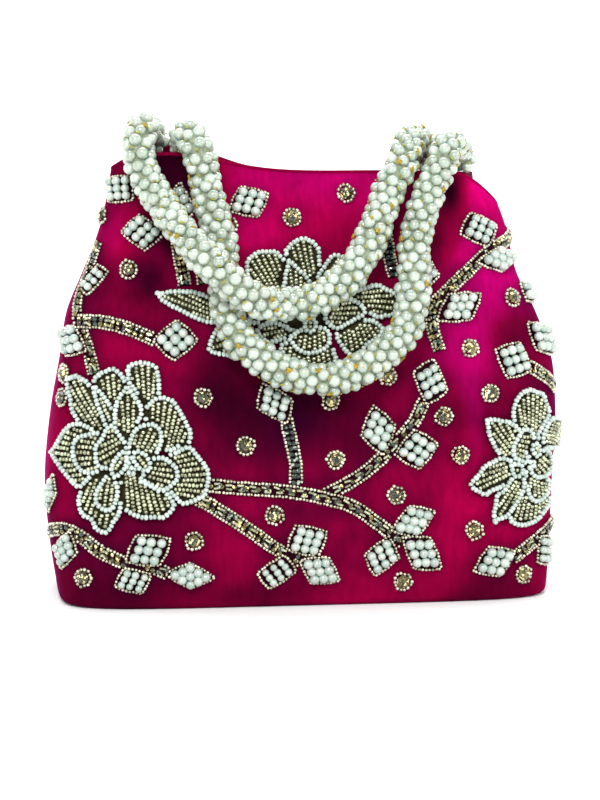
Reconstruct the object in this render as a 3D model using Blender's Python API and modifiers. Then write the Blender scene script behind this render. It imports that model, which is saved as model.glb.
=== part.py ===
"""Potli handbag: a velvet bag with a flat base, beaded vine embroidery and two pearl rope handles.

Metres, +Z up. The front faces -Y and +X is to the right. The origin is the middle of the flat base.
The embroidery is drawn on a flat pattern, in percent of the bag's height: u runs round the bag
from the front centre, v runs up from the base. wrap() then lays it on the velvet.
"""
import math

import bmesh
import bpy
import numpy as np
from mathutils import Vector

# Sizes of the bag
BODY_HEIGHT = 0.170
BASE_WIDTH = 0.198
MOUTH_WIDTH = 0.1545
BASE_DEPTH = 0.090
MOUTH_DEPTH = 0.034
BASE_EDGE_RADIUS = 0.003
FRONT_RIM_PEAK = 0.005
BACK_RIM_PEAK = 0.0085
LEFT_CORNER_DROP = 0.003
RIGHT_CORNER_DROP = 0.012
VELVET_THICKNESS = 0.0014
LINING_THICKNESS = 0.0006
LINING_DROP = 0.006
BOARD_THICKNESS = 0.002
CLEARANCE = 0.0003
VELVET_PILE = 0.0004
LINING_EASE = 0.0008
LINING_INSET = VELVET_THICKNESS + LINING_EASE

# Sizes of the embroidery. UNIT is one percent of the height, the step of the flat pattern.
UNIT = BODY_HEIGHT / 100
BEAD_HEIGHT = 0.0014
PETAL_STEP = 0.00016
BUD_HEIGHT = 0.0044
LEAF_PEARL_HEIGHT = 0.0032
LEAF_EDGE = 0.0014
VINE_WIDTH = 0.0058
VINE_CHANNEL_HEIGHT = 0.0007
STUD_DIAMETER = 0.0083
STUD_RING = 0.0014
CRYSTAL_HEIGHT = 0.0028
CRYSTAL_TABLE = 0.0026
PETAL_SWELL = 0.35
POINT_FULLNESS = 1.25
POINT_SHARPNESS = 0.35
LEAF_BOW = 1.15

# Sizes of the handles
ROPE_DIAMETER = 0.0142
ROPE_STEP = 0.0075
TAB_WIDTH = 0.012
TAB_LENGTH = 0.016
TAB_THICKNESS = 0.001

# Faceting
VELVET_COLUMNS = 36
LINING_COLUMNS = 30
MOST_STRAY = 0.00022
FOLD_MERGE = 0.0001
STEM_STEP = 0.009
BUD_SIDES = 8
DENSE_STEPS = 24
WELD_DISTANCE = 0.00001
SMOOTH_ANGLE = math.radians(40)
FLAT_ANGLE = math.radians(3)
STUD_SIDES = 7
PETAL_POINTS = 10

# The bag's outline at several heights. Each row: height as a share of BODY_HEIGHT, then the share
# of the way from the base's size to the mouth's for the left side, the right side and the depth,
# and last the squareness of the section (2 is an ellipse, 6 nearly a rectangle).
OUTLINE = np.array([
    (0.00, 0.00, 0.02, 0.00, 5.5),
    (0.12, -0.14, -0.07, -0.04, 5.0),
    (0.28, -0.23, -0.16, 0.02, 4.4),
    (0.45, -0.12, -0.25, 0.13, 3.8),
    (0.565, 0.06, -0.21, 0.25, 3.5),
    (0.68, 0.22, 0.09, 0.43, 3.3),
    (0.76, 0.46, 0.39, 0.57, 3.1),
    (0.87, 0.78, 0.60, 0.77, 2.9),
    (1.00, 1.03, 0.97, 1.00, 2.6),
    (1.12, 1.20, 1.16, 1.16, 2.5),
])
RIM_PEAK_PLACE = -0.054
RIM_PEAK_SPREAD = 0.028
RIM_CORNER_START = 0.80

# Rows of points of the velvet and the lining, as shares of the height of the mouth's edge
SHELL_ROWS = (0.20, 0.38, 0.52, 0.61, 0.67, 0.73, 0.80, 0.90)

# The wrapped pattern is read from a table with these steps
TABLE_HEIGHTS = 95
TABLE_ACROSS = 361
SECTION_POINTS = 181

# Petals: base, tip, width and point (0 round, 1 pointed), from the back layer to the front
LEFT_FLOWER = (
    ((-47.0, 35.0), (-62.0, 36.0), 14.0, 1),
    ((-48.0, 41.0), (-55.5, 53.0), 8.0, 0),
    ((-44.5, 44.0), (-47.0, 55.0), 7.0, 0),
    ((-37.5, 47.0), (-38.5, 57.0), 8.0, 0),
    ((-31.5, 37.0), (-35.5, 48.5), 9.0, 0),
    ((-33.0, 31.0), (-24.0, 30.5), 13.0, 0),
    ((-48.5, 31.0), (-49.0, 17.5), 9.5, 0),
    ((-41.0, 31.0), (-38.0, 21.0), 12.0, 0),
    ((-47.0, 37.0), (-55.5, 36.5), 9.5, 0),
    ((-43.5, 38.0), (-43.0, 52.0), 6.5, 1),
    ((-46.5, 30.5), (-48.0, 22.5), 5.5, 0),
    ((-43.0, 37.0), (-50.5, 36.0), 9.5, 0),
    ((-39.0, 35.0), (-38.0, 43.0), 7.5, 0),
    ((-38.0, 32.0), (-31.5, 30.0), 7.5, 0),
    ((-43.0, 35.5), (-47.5, 31.0), 4.0, 0),
)
LEFT_BUD = ((-40.5, 34.5), 2.4)
RIGHT_FLOWER = (
    ((52.0, 39.0), (52.5, 49.0), 10.5, 0),
    ((52.5, 26.0), (49.0, 17.0), 11.5, 0),
    ((58.0, 33.5), (67.5, 31.0), 8.0, 1),
    ((47.0, 33.0), (40.5, 42.5), 6.5, 1),
    ((47.5, 32.0), (36.5, 27.5), 7.0, 1),
    ((57.0, 28.5), (62.5, 22.5), 7.5, 1),
    ((49.0, 29.0), (41.5, 18.5), 6.0, 1),
    ((53.5, 31.0), (54.0, 22.0), 8.0, 0),
    ((48.5, 32.0), (51.5, 40.0), 6.0, 0),
    ((56.0, 35.0), (63.5, 42.5), 9.5, 0),
    ((56.5, 35.0), (53.5, 28.0), 7.0, 0),
    ((46.5, 30.5), (49.5, 31.5), 3.0, 0),
)
RIGHT_BUD = ((53.0, 33.5), 2.6)
CENTRE_FLOWER = (
    ((-6.0, 66.0), (-36.0, 72.5), 7.0, 1),
    ((-5.0, 65.0), (-24.5, 59.0), 7.0, 0),
    ((-4.5, 66.5), (-11.0, 82.0), 9.5, 0),
    ((1.5, 72.0), (7.0, 81.5), 6.0, 0),
    ((-0.5, 66.5), (-1.5, 84.5), 9.0, 0),
    ((5.0, 67.5), (20.5, 70.0), 8.5, 0),
    ((8.0, 65.5), (13.0, 56.0), 10.5, 0),
    ((-0.5, 63.0), (-0.5, 53.5), 13.5, 0),
    ((-1.5, 66.0), (-4.5, 79.5), 6.0, 1),
    ((1.5, 65.0), (13.0, 68.5), 6.5, 0),
    ((-4.0, 64.5), (-15.5, 66.5), 6.0, 0),
    ((-4.0, 62.5), (-13.5, 59.0), 6.0, 0),
    ((-0.5, 65.5), (-1.0, 57.5), 10.5, 0),
)
CENTRE_BUD = ((-0.5, 65.5), 2.5)

# Vine stems, each a run of points, and the pearl leaves of a spray: centre and two half diagonals
SPRAYS = {
    "spray_middle": {
        "stems": (
            ((-22.0, 28.5), (-15.0, 28.0), (-6.0, 27.5), (2.0, 25.5), (9.0, 23.0), (14.0, 19.5), (20.5, 14.5)),
            ((2.5, 26.0), (9.5, 29.5), (15.5, 34.0), (20.5, 39.0), (23.5, 42.5), (26.0, 47.5)),
            ((-4.5, 27.0), (-4.5, 34.0), (-5.5, 39.0), (-6.5, 43.5)),
        ),
        "leaves": (
            ((-9.0, 47.0), (2.5, -4.5), (4.0, 1.0)),
            ((15.0, 40.5), (1.0, -5.5), (-4.0, -1.0)),
            ((24.0, 36.0), (5.0, 1.0), (0.5, -4.5)),
            ((27.5, 51.5), (-1.0, -5.0), (-4.0, 2.0)),
            ((23.0, 19.5), (5.0, 2.0), (1.0, -3.5)),
            ((25.0, 12.0), (4.5, -3.5), (-2.0, -3.5)),
            ((15.5, 11.5), (-1.5, -4.5), (-4.0, 0.5)),
        ),
    },
    "spray_low": {
        "stems": (((-25.0, 24.5), (-21.0, 22.0), (-15.0, 18.0), (-9.5, 14.0), (-2.5, 10.5)),),
        "leaves": (
            ((-2.0, 15.5), (2.5, -3.5), (-4.5, -2.0)),
            ((1.0, 8.5), (4.5, -2.5), (-2.0, -3.0)),
            ((-9.0, 8.5), (-1.0, -3.5), (-4.0, -0.5)),
        ),
    },
    "spray_corner": {
        "stems": (((-68.0, 18.5), (-58.0, 18.0), (-53.0, 16.0), (-48.5, 13.0), (-43.5, 11.0), (-38.0, 10.0),
                   (-34.0, 8.0)),),
        "leaves": (
            ((-38.5, 14.0), (2.5, -3.5), (-5.0, -2.5)),
            ((-42.0, 7.0), (2.0, -3.0), (-4.0, -1.5)),
            ((-29.0, 8.0), (5.5, -0.5), (0.0, -3.0)),
            ((-58.5, 13.5), (-1.5, -4.5), (-3.5, 0.5)),
        ),
    },
    "spray_left": {
        "stems": (
            ((-55.0, 65.5), (-49.0, 65.5), (-42.0, 64.0), (-36.0, 61.5)),
            ((-55.0, 66.0), (-53.0, 62.0), (-50.5, 55.5)),
            ((-55.0, 65.0), (-55.5, 70.5), (-52.5, 78.0), (-50.5, 84.0)),
        ),
        "leaves": (
            ((-31.5, 61.5), (-0.5, -4.5), (-5.0, 0.0)),
            ((-51.0, 75.0), (-1.0, -3.5), (-4.0, -1.5)),
            ((-57.5, 61.0), (5.0, -2.0), (-1.5, -3.5)),
        ),
    },
    "spray_right": {
        "stems": (((56.0, 86.0), (50.5, 84.0), (44.5, 81.5), (38.5, 77.0), (33.0, 72.5), (29.0, 68.5), (28.5, 65.0),
                   (30.0, 58.5)),),
        "leaves": (
            ((42.0, 86.5), (2.0, -4.0), (-5.0, -1.0)),
            ((47.5, 79.5), (6.5, 0.5), (0.0, -3.0)),
            ((35.5, 68.5), (2.5, -3.0), (-5.5, -3.0)),
        ),
    },
    "spray_right_low": {
        "stems": (((52.5, 54.5), (57.5, 52.0), (62.5, 49.0)),),
        "leaves": (((48.5, 56.0), (4.5, -2.5), (-2.0, -4.0)),),
    },
    "spray_right_corner": {
        "stems": (((62.5, 17.5), (57.0, 15.5), (53.0, 13.5), (47.0, 10.0)),),
        "leaves": (((42.5, 9.5), (1.5, -3.5), (-5.0, -2.0)), ((57.0, 11.0), (2.0, -3.5), (-3.0, -2.5))),
    },
    "spray_top_left": {
        "stems": (((-31.5, 83.5), (-30.0, 79.0), (-28.5, 75.5)), ((-30.5, 82.0), (-27.0, 80.0), (-24.5, 76.0))),
        "leaves": (),
    },
    "spray_top_right": {
        "stems": (((18.5, 86.0), (19.0, 81.5), (19.5, 78.0), (20.0, 75.5)),),
        "leaves": (((17.5, 86.5), (2.5, -2.5), (-2.0, -3.5)),),
    },
}
LOOSE_LEAVES = {
    "leaf_left_rim": ((-44.0, 96.0), (3.5, -2.5), (-3.0, -3.0)),
    "leaf_under_rope": ((-28.5, 93.5), (2.5, -2.0), (0.5, -4.0)),
    "leaf_top": ((-13.5, 93.0), (2.0, -3.5), (-4.5, -2.0)),
    "leaf_upper_left": ((-38.5, 86.0), (5.0, 0.0), (0.5, -4.0)),
    "leaf_beside_rope": ((27.5, 77.5), (3.5, -1.5), (0.0, -4.0)),
    "leaf_right_edge": ((59.5, 60.5), (5.5, -4.0), (-4.0, -2.5)),
    "leaf_right_side": ((58.0, 71.5), (3.5, -2.5), (-3.0, -2.0)),
    "leaf_left_side": ((-64.0, 26.0), (-1.5, -4.5), (-3.0, 0.0)),
}
STUDS = (
    (-3.5, 89.5), (9.5, 95.0), (-42.0, 77.5), (-25.5, 48.5), (-16.0, 37.5), (-60.0, 48.0), (-28.0, 16.0),
    (-53.5, 7.5), (-9.5, 21.5), (5.0, 34.0), (19.0, 25.5), (20.5, 5.5), (4.0, 47.5), (17.5, 53.0), (37.5, 59.0),
    (42.0, 48.5), (30.5, 43.5), (34.5, 34.5), (37.5, 17.0), (50.0, 6.0), (50.0, 70.5), (-60.0, 53.5),
    (-50.0, 90.0), (-18.5, 87.5),
)

# Handle routes, from the right end over the rim, down the front and back up to the left end
FRONT_ROUTE = (
    (0.0665, -0.0042, 0.1716), (0.0665, -0.0042, 0.1741), (0.0620, -0.0092, 0.1794), (0.0588, -0.0159, 0.1806),
    (0.0553, -0.0231, 0.1761), (0.0522, -0.0255, 0.1696), (0.0455, -0.0303, 0.1563), (0.0412, -0.0354, 0.1415),
    (0.0401, -0.0398, 0.1256), (0.0360, -0.0447, 0.1094), (0.0233, -0.0486, 0.0969), (0.0063, -0.0500, 0.0901),
    (-0.0118, -0.0491, 0.0927), (-0.0289, -0.0467, 0.1043), (-0.0346, -0.0411, 0.1210), (-0.0352, -0.0360, 0.1376),
    (-0.0376, -0.0317, 0.1511), (-0.0408, -0.0272, 0.1653), (-0.0431, -0.0269, 0.1770), (-0.0457, -0.0204, 0.1839),
    (-0.0470, -0.0122, 0.1844), (-0.0470, -0.0053, 0.1804), (-0.0470, -0.0053, 0.1766),
)
BACK_ROUTE = (
    (0.0562, 0.0064, 0.1716), (0.0562, 0.0064, 0.1748), (0.0536, 0.0054, 0.1785), (0.0499, 0.0013, 0.1827),
    (0.0444, -0.0084, 0.1826), (0.0402, -0.0196, 0.1778), (0.0358, -0.0276, 0.1702), (0.0302, -0.0306, 0.1597),
    (0.0236, -0.0362, 0.1442), (0.0143, -0.0410, 0.1300), (-0.0023, -0.0440, 0.1199), (-0.0130, -0.0460, 0.1188),
    (-0.0235, -0.0527, 0.1208), (-0.0330, -0.0558, 0.1268), (-0.0430, -0.0510, 0.1362), (-0.0501, -0.0415, 0.1451),
    (-0.0560, -0.0315, 0.1542), (-0.0613, -0.0262, 0.1629), (-0.0655, -0.0226, 0.1713), (-0.0664, -0.0212, 0.1776),
    (-0.0658, -0.0162, 0.1837), (-0.0634, -0.0082, 0.1876), (-0.0611, -0.0012, 0.1862), (-0.0586, 0.0037, 0.1815),
    (-0.0586, 0.0037, 0.1790),
)


def spread(share, column):
    """A column of OUTLINE at a share of the height, on a smooth cubic through its rows."""
    heights = OUTLINE[:, 0]
    values = OUTLINE[:, column]
    slopes = np.gradient(values, heights)
    row = np.clip(np.searchsorted(heights, share, side="right") - 1, 0, len(heights) - 2)
    step = heights[row + 1] - heights[row]
    t = (share - heights[row]) / step
    ends = (2 * t**3 - 3 * t**2 + 1) * values[row] + (3 * t**2 - 2 * t**3) * values[row + 1]
    return ends + ((t**3 - 2 * t**2 + t) * slopes[row] + (t**3 - t**2) * slopes[row + 1]) * step


def section_point(turn, z, inset=0.0):
    """A point of the bag's outer section at height z. turn runs from 0 at the front through +X."""
    share = z / BODY_HEIGHT
    side = 1 if math.sin(turn) < 0 else 2
    below = min(max(BASE_EDGE_RADIUS - z, 0.0), BASE_EDGE_RADIUS)
    rounding = BASE_EDGE_RADIUS - math.sqrt(BASE_EDGE_RADIUS**2 - below**2) + inset
    half_width = (BASE_WIDTH + (MOUTH_WIDTH - BASE_WIDTH) * spread(share, side)) / 2 - rounding
    half_depth = (BASE_DEPTH + (MOUTH_DEPTH - BASE_DEPTH) * spread(share, 3)) / 2 - rounding
    power = 2 / spread(share, 4)
    sine = math.sin(turn)
    cosine = math.cos(turn)
    x = math.copysign(abs(sine) ** power, sine) * half_width
    y = -math.copysign(abs(cosine) ** power, cosine) * half_depth
    return Vector((x, y, z))


def rim_height(turn):
    """Height of the mouth's edge: the left half peaks where the handles pull it, the corners droop."""
    x = section_point(turn, BODY_HEIGHT).x
    front = (1 + math.cos(turn)) / 2
    peak = FRONT_RIM_PEAK * front + BACK_RIM_PEAK * (1 - front)
    pull = peak * math.exp(-(((x - RIM_PEAK_PLACE) / RIM_PEAK_SPREAD) ** 2))
    corner = max(abs(x) / (MOUTH_WIDTH / 2) - RIM_CORNER_START, 0.0) / (1 - RIM_CORNER_START)
    drop = LEFT_CORNER_DROP if x < 0 else RIGHT_CORNER_DROP
    return BODY_HEIGHT + pull - drop * min(corner, 1.0) ** 2


def wall_table():
    """The outer wall as grids of points and outward normals, by height and by distance round."""
    heights = np.linspace(0, OUTLINE[-1, 0] * BODY_HEIGHT, TABLE_HEIGHTS)
    reach = (BASE_WIDTH + BASE_DEPTH) * 0.9
    across = np.linspace(-reach, reach, TABLE_ACROSS)
    points = np.zeros((TABLE_HEIGHTS, TABLE_ACROSS, 3))
    for row, z in enumerate(heights):
        for sign in (1, -1):
            turns = np.linspace(0, sign * math.pi, SECTION_POINTS)
            ring = np.array([section_point(turn, max(z, BASE_EDGE_RADIUS)) for turn in turns])
            steps = np.linalg.norm(np.diff(ring, axis=0), axis=1)
            length = np.concatenate([[0], np.cumsum(steps)]) * sign
            chosen = across >= 0 if sign > 0 else across < 0
            for axis in (0, 1):
                order = slice(None, None, sign)
                points[row, chosen, axis] = np.interp(across[chosen], length[order], ring[order, axis])
        points[row, :, 2] = z
    normals = np.cross(np.gradient(points, axis=1), np.gradient(points, axis=0))
    normals /= np.linalg.norm(normals, axis=2, keepdims=True) + 1e-12
    return across, heights, points, normals


ACROSS, HEIGHTS, WALL_POINTS, WALL_NORMALS = wall_table()


def read_table(table, u, z):
    """The table's value at a distance u round the bag and a height z, between its four neighbours."""
    column = np.clip((u - ACROSS[0]) / (ACROSS[1] - ACROSS[0]), 0, TABLE_ACROSS - 1.001)
    row = np.clip(z / (HEIGHTS[1] - HEIGHTS[0]), 0, TABLE_HEIGHTS - 1.001)
    i = int(row)
    j = int(column)
    low = table[i, j] * (1 - column + j) + table[i, j + 1] * (column - j)
    high = table[i + 1, j] * (1 - column + j) + table[i + 1, j + 1] * (column - j)
    return low * (1 - row + i) + high * (row - i)


def wrap(bm):
    """Moves a piece from the flat pattern (X round the bag, Y up, Z off the velvet) on to the wall."""
    for vert in bm.verts:
        point = read_table(WALL_POINTS, vert.co.x, vert.co.y)
        normal = read_table(WALL_NORMALS, vert.co.x, vert.co.y)
        vert.co = Vector(point + normal * vert.co.z)


def cut_places(places, normals):
    """Places where a flat piece must fold so that it strays from the wall by less than MOST_STRAY."""
    chosen = [0]
    for index in range(1, len(places)):
        bend = np.arccos(np.clip((normals[:, chosen[-1]] * normals[:, index]).sum(axis=1), -1, 1)).max()
        if (places[index] - places[chosen[-1]]) * bend / 8 > MOST_STRAY:
            chosen.append(index - 1)
    return [places[index] for index in chosen[1:]]


def fold_places(bm):
    """Fold lines of a flat piece, across and up, from the bend of the wall under it."""
    low = Vector([min(vert.co[axis] for vert in bm.verts) for axis in (0, 1)])
    high = Vector([max(vert.co[axis] for vert in bm.verts) for axis in (0, 1)])
    columns = (ACROSS > low.x) & (ACROSS < high.x)
    rows = (HEIGHTS > low.y) & (HEIGHTS < high.y)
    normals = WALL_NORMALS[rows][:, columns]
    across = cut_places(ACROSS[columns], normals)
    up = cut_places(HEIGHTS[rows], normals.swapaxes(0, 1))
    return across, up


def fold_ready(bm, across, up):
    """Cuts the piece's faces along its fold lines, so that wrap() can bend it."""
    for axis, places in ((0, across), (1, up)):
        for place in places:
            point = Vector((place, place, 0))
            normal = Vector((1 - axis, axis, 0))
            geometry = bm.verts[:] + bm.edges[:] + bm.faces[:]
            bmesh.ops.bisect_plane(bm, geom=geometry, plane_co=point, plane_no=normal, dist=FOLD_MERGE)


def smooth_points(points, step):
    """Points about step apart on a smooth curve through the given ones."""
    knots = np.array(points, float)
    chords = np.concatenate([[0], np.cumsum(np.linalg.norm(np.diff(knots, axis=0), axis=1))])
    slopes = np.gradient(knots, chords, axis=0)
    dense = np.linspace(0, chords[-1], len(points) * DENSE_STEPS)
    row = np.clip(np.searchsorted(chords, dense, side="right") - 1, 0, len(points) - 2)
    span = (chords[row + 1] - chords[row])[:, None]
    t = (dense - chords[row])[:, None] / span
    curve = (2 * t**3 - 3 * t**2 + 1) * knots[row] + (3 * t**2 - 2 * t**3) * knots[row + 1]
    curve += ((t**3 - 2 * t**2 + t) * slopes[row] + (t**3 - t**2) * slopes[row + 1]) * span
    length = np.concatenate([[0], np.cumsum(np.linalg.norm(np.diff(curve, axis=0), axis=1))])
    stops = np.linspace(0, length[-1], max(round(length[-1] / step), 2) + 1)
    return [[float(np.interp(stop, length, curve[:, axis])) for axis in range(knots.shape[1])] for stop in stops]


def new_collection(name):
    collection = bpy.data.collections.new(name)
    bpy.context.scene.collection.children.link(collection)
    return collection


def helper_object(data):
    helper = bpy.data.objects.new("helper", data)
    helper.hide_render = True
    helper.display_type = "WIRE"
    HELPERS.objects.link(helper)
    return helper


def evaluated_bmesh(obj):
    """The object's shape with its modifiers or bevel applied, its caps welded. The object is removed."""
    bpy.context.view_layer.update()
    graph = bpy.context.evaluated_depsgraph_get()
    mesh = bpy.data.meshes.new_from_object(obj.evaluated_get(graph))
    bm = bmesh.new()
    bm.from_mesh(mesh)
    bmesh.ops.remove_doubles(bm, verts=bm.verts[:], dist=WELD_DISTANCE)
    bmesh.ops.recalc_face_normals(bm, faces=bm.faces[:])
    bpy.data.meshes.remove(mesh)
    bpy.data.objects.remove(obj)
    return bm


def poly_curve(points, cyclic, dimensions):
    curve = bpy.data.curves.new("outline", "CURVE")
    curve.dimensions = dimensions
    spline = curve.splines.new("POLY")
    spline.points.add(len(points) - 1)
    for target, point in zip(spline.points, points):
        target.co = (*point, 1) if len(point) == 3 else (*point, 0, 1)
    spline.use_cyclic_u = cyclic
    return curve


def plate(points, thickness):
    """A flat outline of the pattern as a solid, from the velvet up to its thickness."""
    curve = poly_curve(points, True, "2D")
    curve.fill_mode = "BOTH"
    curve.extrude = thickness / 2
    bm = evaluated_bmesh(helper_object(curve))
    bmesh.ops.translate(bm, verts=bm.verts[:], vec=(0, 0, thickness / 2))
    return bm


def petal(base, tip, width, pointed, thickness):
    """An egg-shaped petal, broadest beyond its middle. A pointed one narrows to its tip."""
    base = Vector(base) * UNIT
    along = Vector(tip) * UNIT - base
    across = Vector((-along.y, along.x)).normalized() * width * UNIT / 2
    points = []
    for step in range(PETAL_POINTS):
        angle = 2 * math.pi * step / PETAL_POINTS
        t = (1 - math.cos(angle)) / 2
        half = math.sin(angle) * (1 + PETAL_SWELL * (t - 0.5))
        if pointed:
            half *= POINT_FULLNESS * (1 - t) ** POINT_SHARPNESS
        points.append(base + along * t + across * half)
    return plate(points, thickness)


def disc(centre, radius, thickness):
    turns = [2 * math.pi * step / BUD_SIDES for step in range(BUD_SIDES)]
    return plate([Vector((centre[0] + radius * math.cos(a), centre[1] + radius * math.sin(a))) * UNIT
                  for a in turns], thickness)


def top_faces(bm):
    level = max(vert.co.z for vert in bm.verts)
    return [face for face in bm.faces if all(vert.co.z > level - WELD_DISTANCE for vert in face.verts)]


def leaf(centre, long_half, short_half):
    """A lozenge with slightly bowed sides, its pearl field raised inside a low bead edge."""
    centre = Vector(centre)
    corners = [Vector(long_half), Vector(short_half), -Vector(long_half), -Vector(short_half)]
    points = []
    for corner, following in zip(corners, corners[1:] + corners[:1]):
        points.append((centre + corner) * UNIT)
        points.append((centre + (corner + following) / 2 * LEAF_BOW) * UNIT)
    bm = plate(points, BEAD_HEIGHT)
    rise = LEAF_PEARL_HEIGHT - BEAD_HEIGHT
    bmesh.ops.inset_region(bm, faces=top_faces(bm), thickness=LEAF_EDGE, depth=rise,
                           use_boundary=True, use_even_offset=True)
    return bm


def stem(points):
    """A vine stem: raised bead rows at its edges, the crystals lower between them."""
    side = VINE_WIDTH / 2
    section = [(-side, 0), (side, 0), (side, BEAD_HEIGHT), (0, VINE_CHANNEL_HEIGHT), (-side, BEAD_HEIGHT)]
    profile = helper_object(poly_curve(section, True, "2D"))
    path = smooth_points([Vector(point) * UNIT for point in points], STEM_STEP)
    curve = poly_curve(path, False, "2D")
    curve.bevel_mode = "OBJECT"
    curve.bevel_object = profile
    curve.use_fill_caps = True
    bm = evaluated_bmesh(helper_object(curve))
    bpy.data.objects.remove(profile)
    return bm


def fused(pieces):
    """Overlapping pieces as one closed solid."""
    base = bpy.data.meshes.new("base")
    pieces[0].to_mesh(base)
    rest = bmesh.new()
    for piece in pieces[1:]:
        mesh = bpy.data.meshes.new("piece")
        piece.to_mesh(mesh)
        rest.from_mesh(mesh)
        bpy.data.meshes.remove(mesh)
    others = bpy.data.meshes.new("others")
    rest.to_mesh(others)
    carrier = helper_object(base)
    union = carrier.modifiers.new("union", "BOOLEAN")
    union.operation = "UNION"
    union.solver = "EXACT"
    union.use_self = True
    union.object = helper_object(others)
    operand = union.object
    bm = evaluated_bmesh(carrier)
    bpy.data.objects.remove(operand)
    bmesh.ops.dissolve_limit(bm, angle_limit=FLAT_ANGLE, verts=bm.verts[:], edges=bm.edges[:])
    return bm


def stud(centre):
    """A faceted crystal in a ring of beads."""
    bm = bmesh.new()
    bmesh.ops.create_cone(bm, cap_ends=True, segments=STUD_SIDES, radius1=STUD_DIAMETER / 2,
                          radius2=STUD_DIAMETER / 2, depth=BEAD_HEIGHT)
    place = Vector(centre) * UNIT
    bmesh.ops.translate(bm, verts=bm.verts[:], vec=(place.x, place.y, BEAD_HEIGHT / 2))
    bmesh.ops.inset_region(bm, faces=top_faces(bm), thickness=STUD_RING, use_even_offset=True)
    table = STUD_DIAMETER / 2 - STUD_RING - CRYSTAL_TABLE / 2
    bmesh.ops.inset_region(bm, faces=top_faces_near(bm, place), thickness=table,
                           depth=CRYSTAL_HEIGHT - BEAD_HEIGHT, use_even_offset=True)
    return bm


def top_faces_near(bm, place):
    """The one top face over a place: the crystal's seat inside the ring."""
    return [min(top_faces(bm), key=lambda face: (face.calc_center_median().xy - place).length)]


def flower(petals, bud):
    """Petals laid over one another, each a little higher than the last, round a raised bud."""
    pieces = [petal(*row, BEAD_HEIGHT + PETAL_STEP * index) for index, row in enumerate(petals)]
    pieces.append(disc(*bud, BUD_HEIGHT))
    return fused(pieces)


def spray(stems, leaves):
    return fused([stem(points) for points in stems] + [leaf(*row) for row in leaves])


def open_shell(columns, levels, inset, closed_at):
    """A tube of points on the bag's section, columns by levels, closed by a flat base.

    levels holds, for each ring, a function from the turn to the height and the ring's own inset.
    """
    bm = bmesh.new()
    bmesh.ops.create_cone(bm, cap_ends=False, segments=columns, radius1=1, radius2=1, depth=1)
    uprights = [edge for edge in bm.edges if abs(edge.verts[0].co.z - edge.verts[1].co.z) > 0.5]
    bmesh.ops.subdivide_edges(bm, edges=uprights, cuts=len(levels) - 2, use_grid_fill=True)
    bottom = []
    for vert in bm.verts:
        level = round((vert.co.z + 0.5) * (len(levels) - 1))
        turn = math.atan2(vert.co.x, -vert.co.y)
        height, extra = levels[level]
        vert.co = section_point(turn, height(turn), inset + extra)
        if level == 0:
            bottom.append(vert)
            vert.co.z = closed_at
    ring = [edge for edge in bm.edges if edge.verts[0] in bottom and edge.verts[1] in bottom]
    bmesh.ops.edgeloop_fill(bm, edges=ring)
    bmesh.ops.recalc_face_normals(bm, faces=bm.faces[:])
    return bm


def at_height(z):
    return lambda turn: z


def at_share(share):
    return lambda turn: share * rim_height(turn)


def velvet_levels():
    """Rings of the velvet: a rounded base edge, the even rows and the mouth's edge."""
    low = BASE_EDGE_RADIUS * (1 - math.sqrt(0.5))
    rings = [(at_height(z), 0) for z in (0, low, BASE_EDGE_RADIUS)]
    return rings + [(at_share(share), 0) for share in SHELL_ROWS] + [(rim_height, 0)]


def lining_levels(floor):
    """Rings of the lining, from its own floor to LINING_DROP below the mouth's edge."""
    rings = [(at_height(floor), BASE_EDGE_RADIUS), (at_height(floor + BASE_EDGE_RADIUS), 0)]
    rings += [(at_share(share), 0) for share in SHELL_ROWS]
    return rings + [(lambda turn: rim_height(turn) - LINING_DROP, 0)]


def material(name, colour, roughness, metallic=0.0):
    made = bpy.data.materials.new(name)
    made.use_nodes = True
    shader = made.node_tree.nodes["Principled BSDF"]
    shader.inputs["Base Color"].default_value = (*colour, 1)
    shader.inputs["Roughness"].default_value = roughness
    shader.inputs["Metallic"].default_value = metallic
    made.diffuse_color = (*colour, 1)
    return made


def add_part(name, bm, finish, smooth=None):
    mesh = bpy.data.meshes.new(name)
    bm.to_mesh(mesh)
    bm.free()
    mesh.materials.append(finish)
    if smooth:
        mesh.shade_smooth()
        mesh.set_sharp_from_angle(angle=smooth)
    part = bpy.data.objects.new(name, mesh)
    BAG.objects.link(part)
    return part


def thicken(part, thickness):
    """Gives an outer skin its wall, inwards."""
    wall = part.modifiers.new("wall", "SOLIDIFY")
    wall.thickness = thickness
    wall.offset = -1
    wall.use_even_offset = True


def add_embroidery(name, bm, finish):
    """Lays a flat pattern piece on the velvet's pile."""
    fold_ready(bm, *fold_places(bm))
    bmesh.ops.translate(bm, verts=bm.verts[:], vec=(0, 0, VELVET_PILE))
    wrap(bm)
    return add_part(name, bm, finish)


def add_handle(name, route, finish):
    points = [route[0], *smooth_points(route[1:-1], ROPE_STEP), route[-1]]
    curve = poly_curve(points, False, "3D")
    curve.name = name
    curve.bevel_depth = ROPE_DIAMETER / 2
    curve.bevel_resolution = 2
    curve.use_fill_caps = True
    curve.materials.append(finish)
    handle = bpy.data.objects.new(name, curve)
    BAG.objects.link(handle)


def distance_round(x, z, back):
    """The distance round the bag at which the wall at height z has this x, at the front or the back."""
    row = int(np.argmin(np.abs(HEIGHTS - z)))
    side = ACROSS >= 0 if x > 0 else ACROSS <= 0
    here = side & ((WALL_POINTS[row, :, 1] > 0) == back)
    xs = WALL_POINTS[row, here, 0]
    order = np.argsort(xs)
    return float(np.interp(x, xs[order], ACROSS[here][order]))


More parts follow.
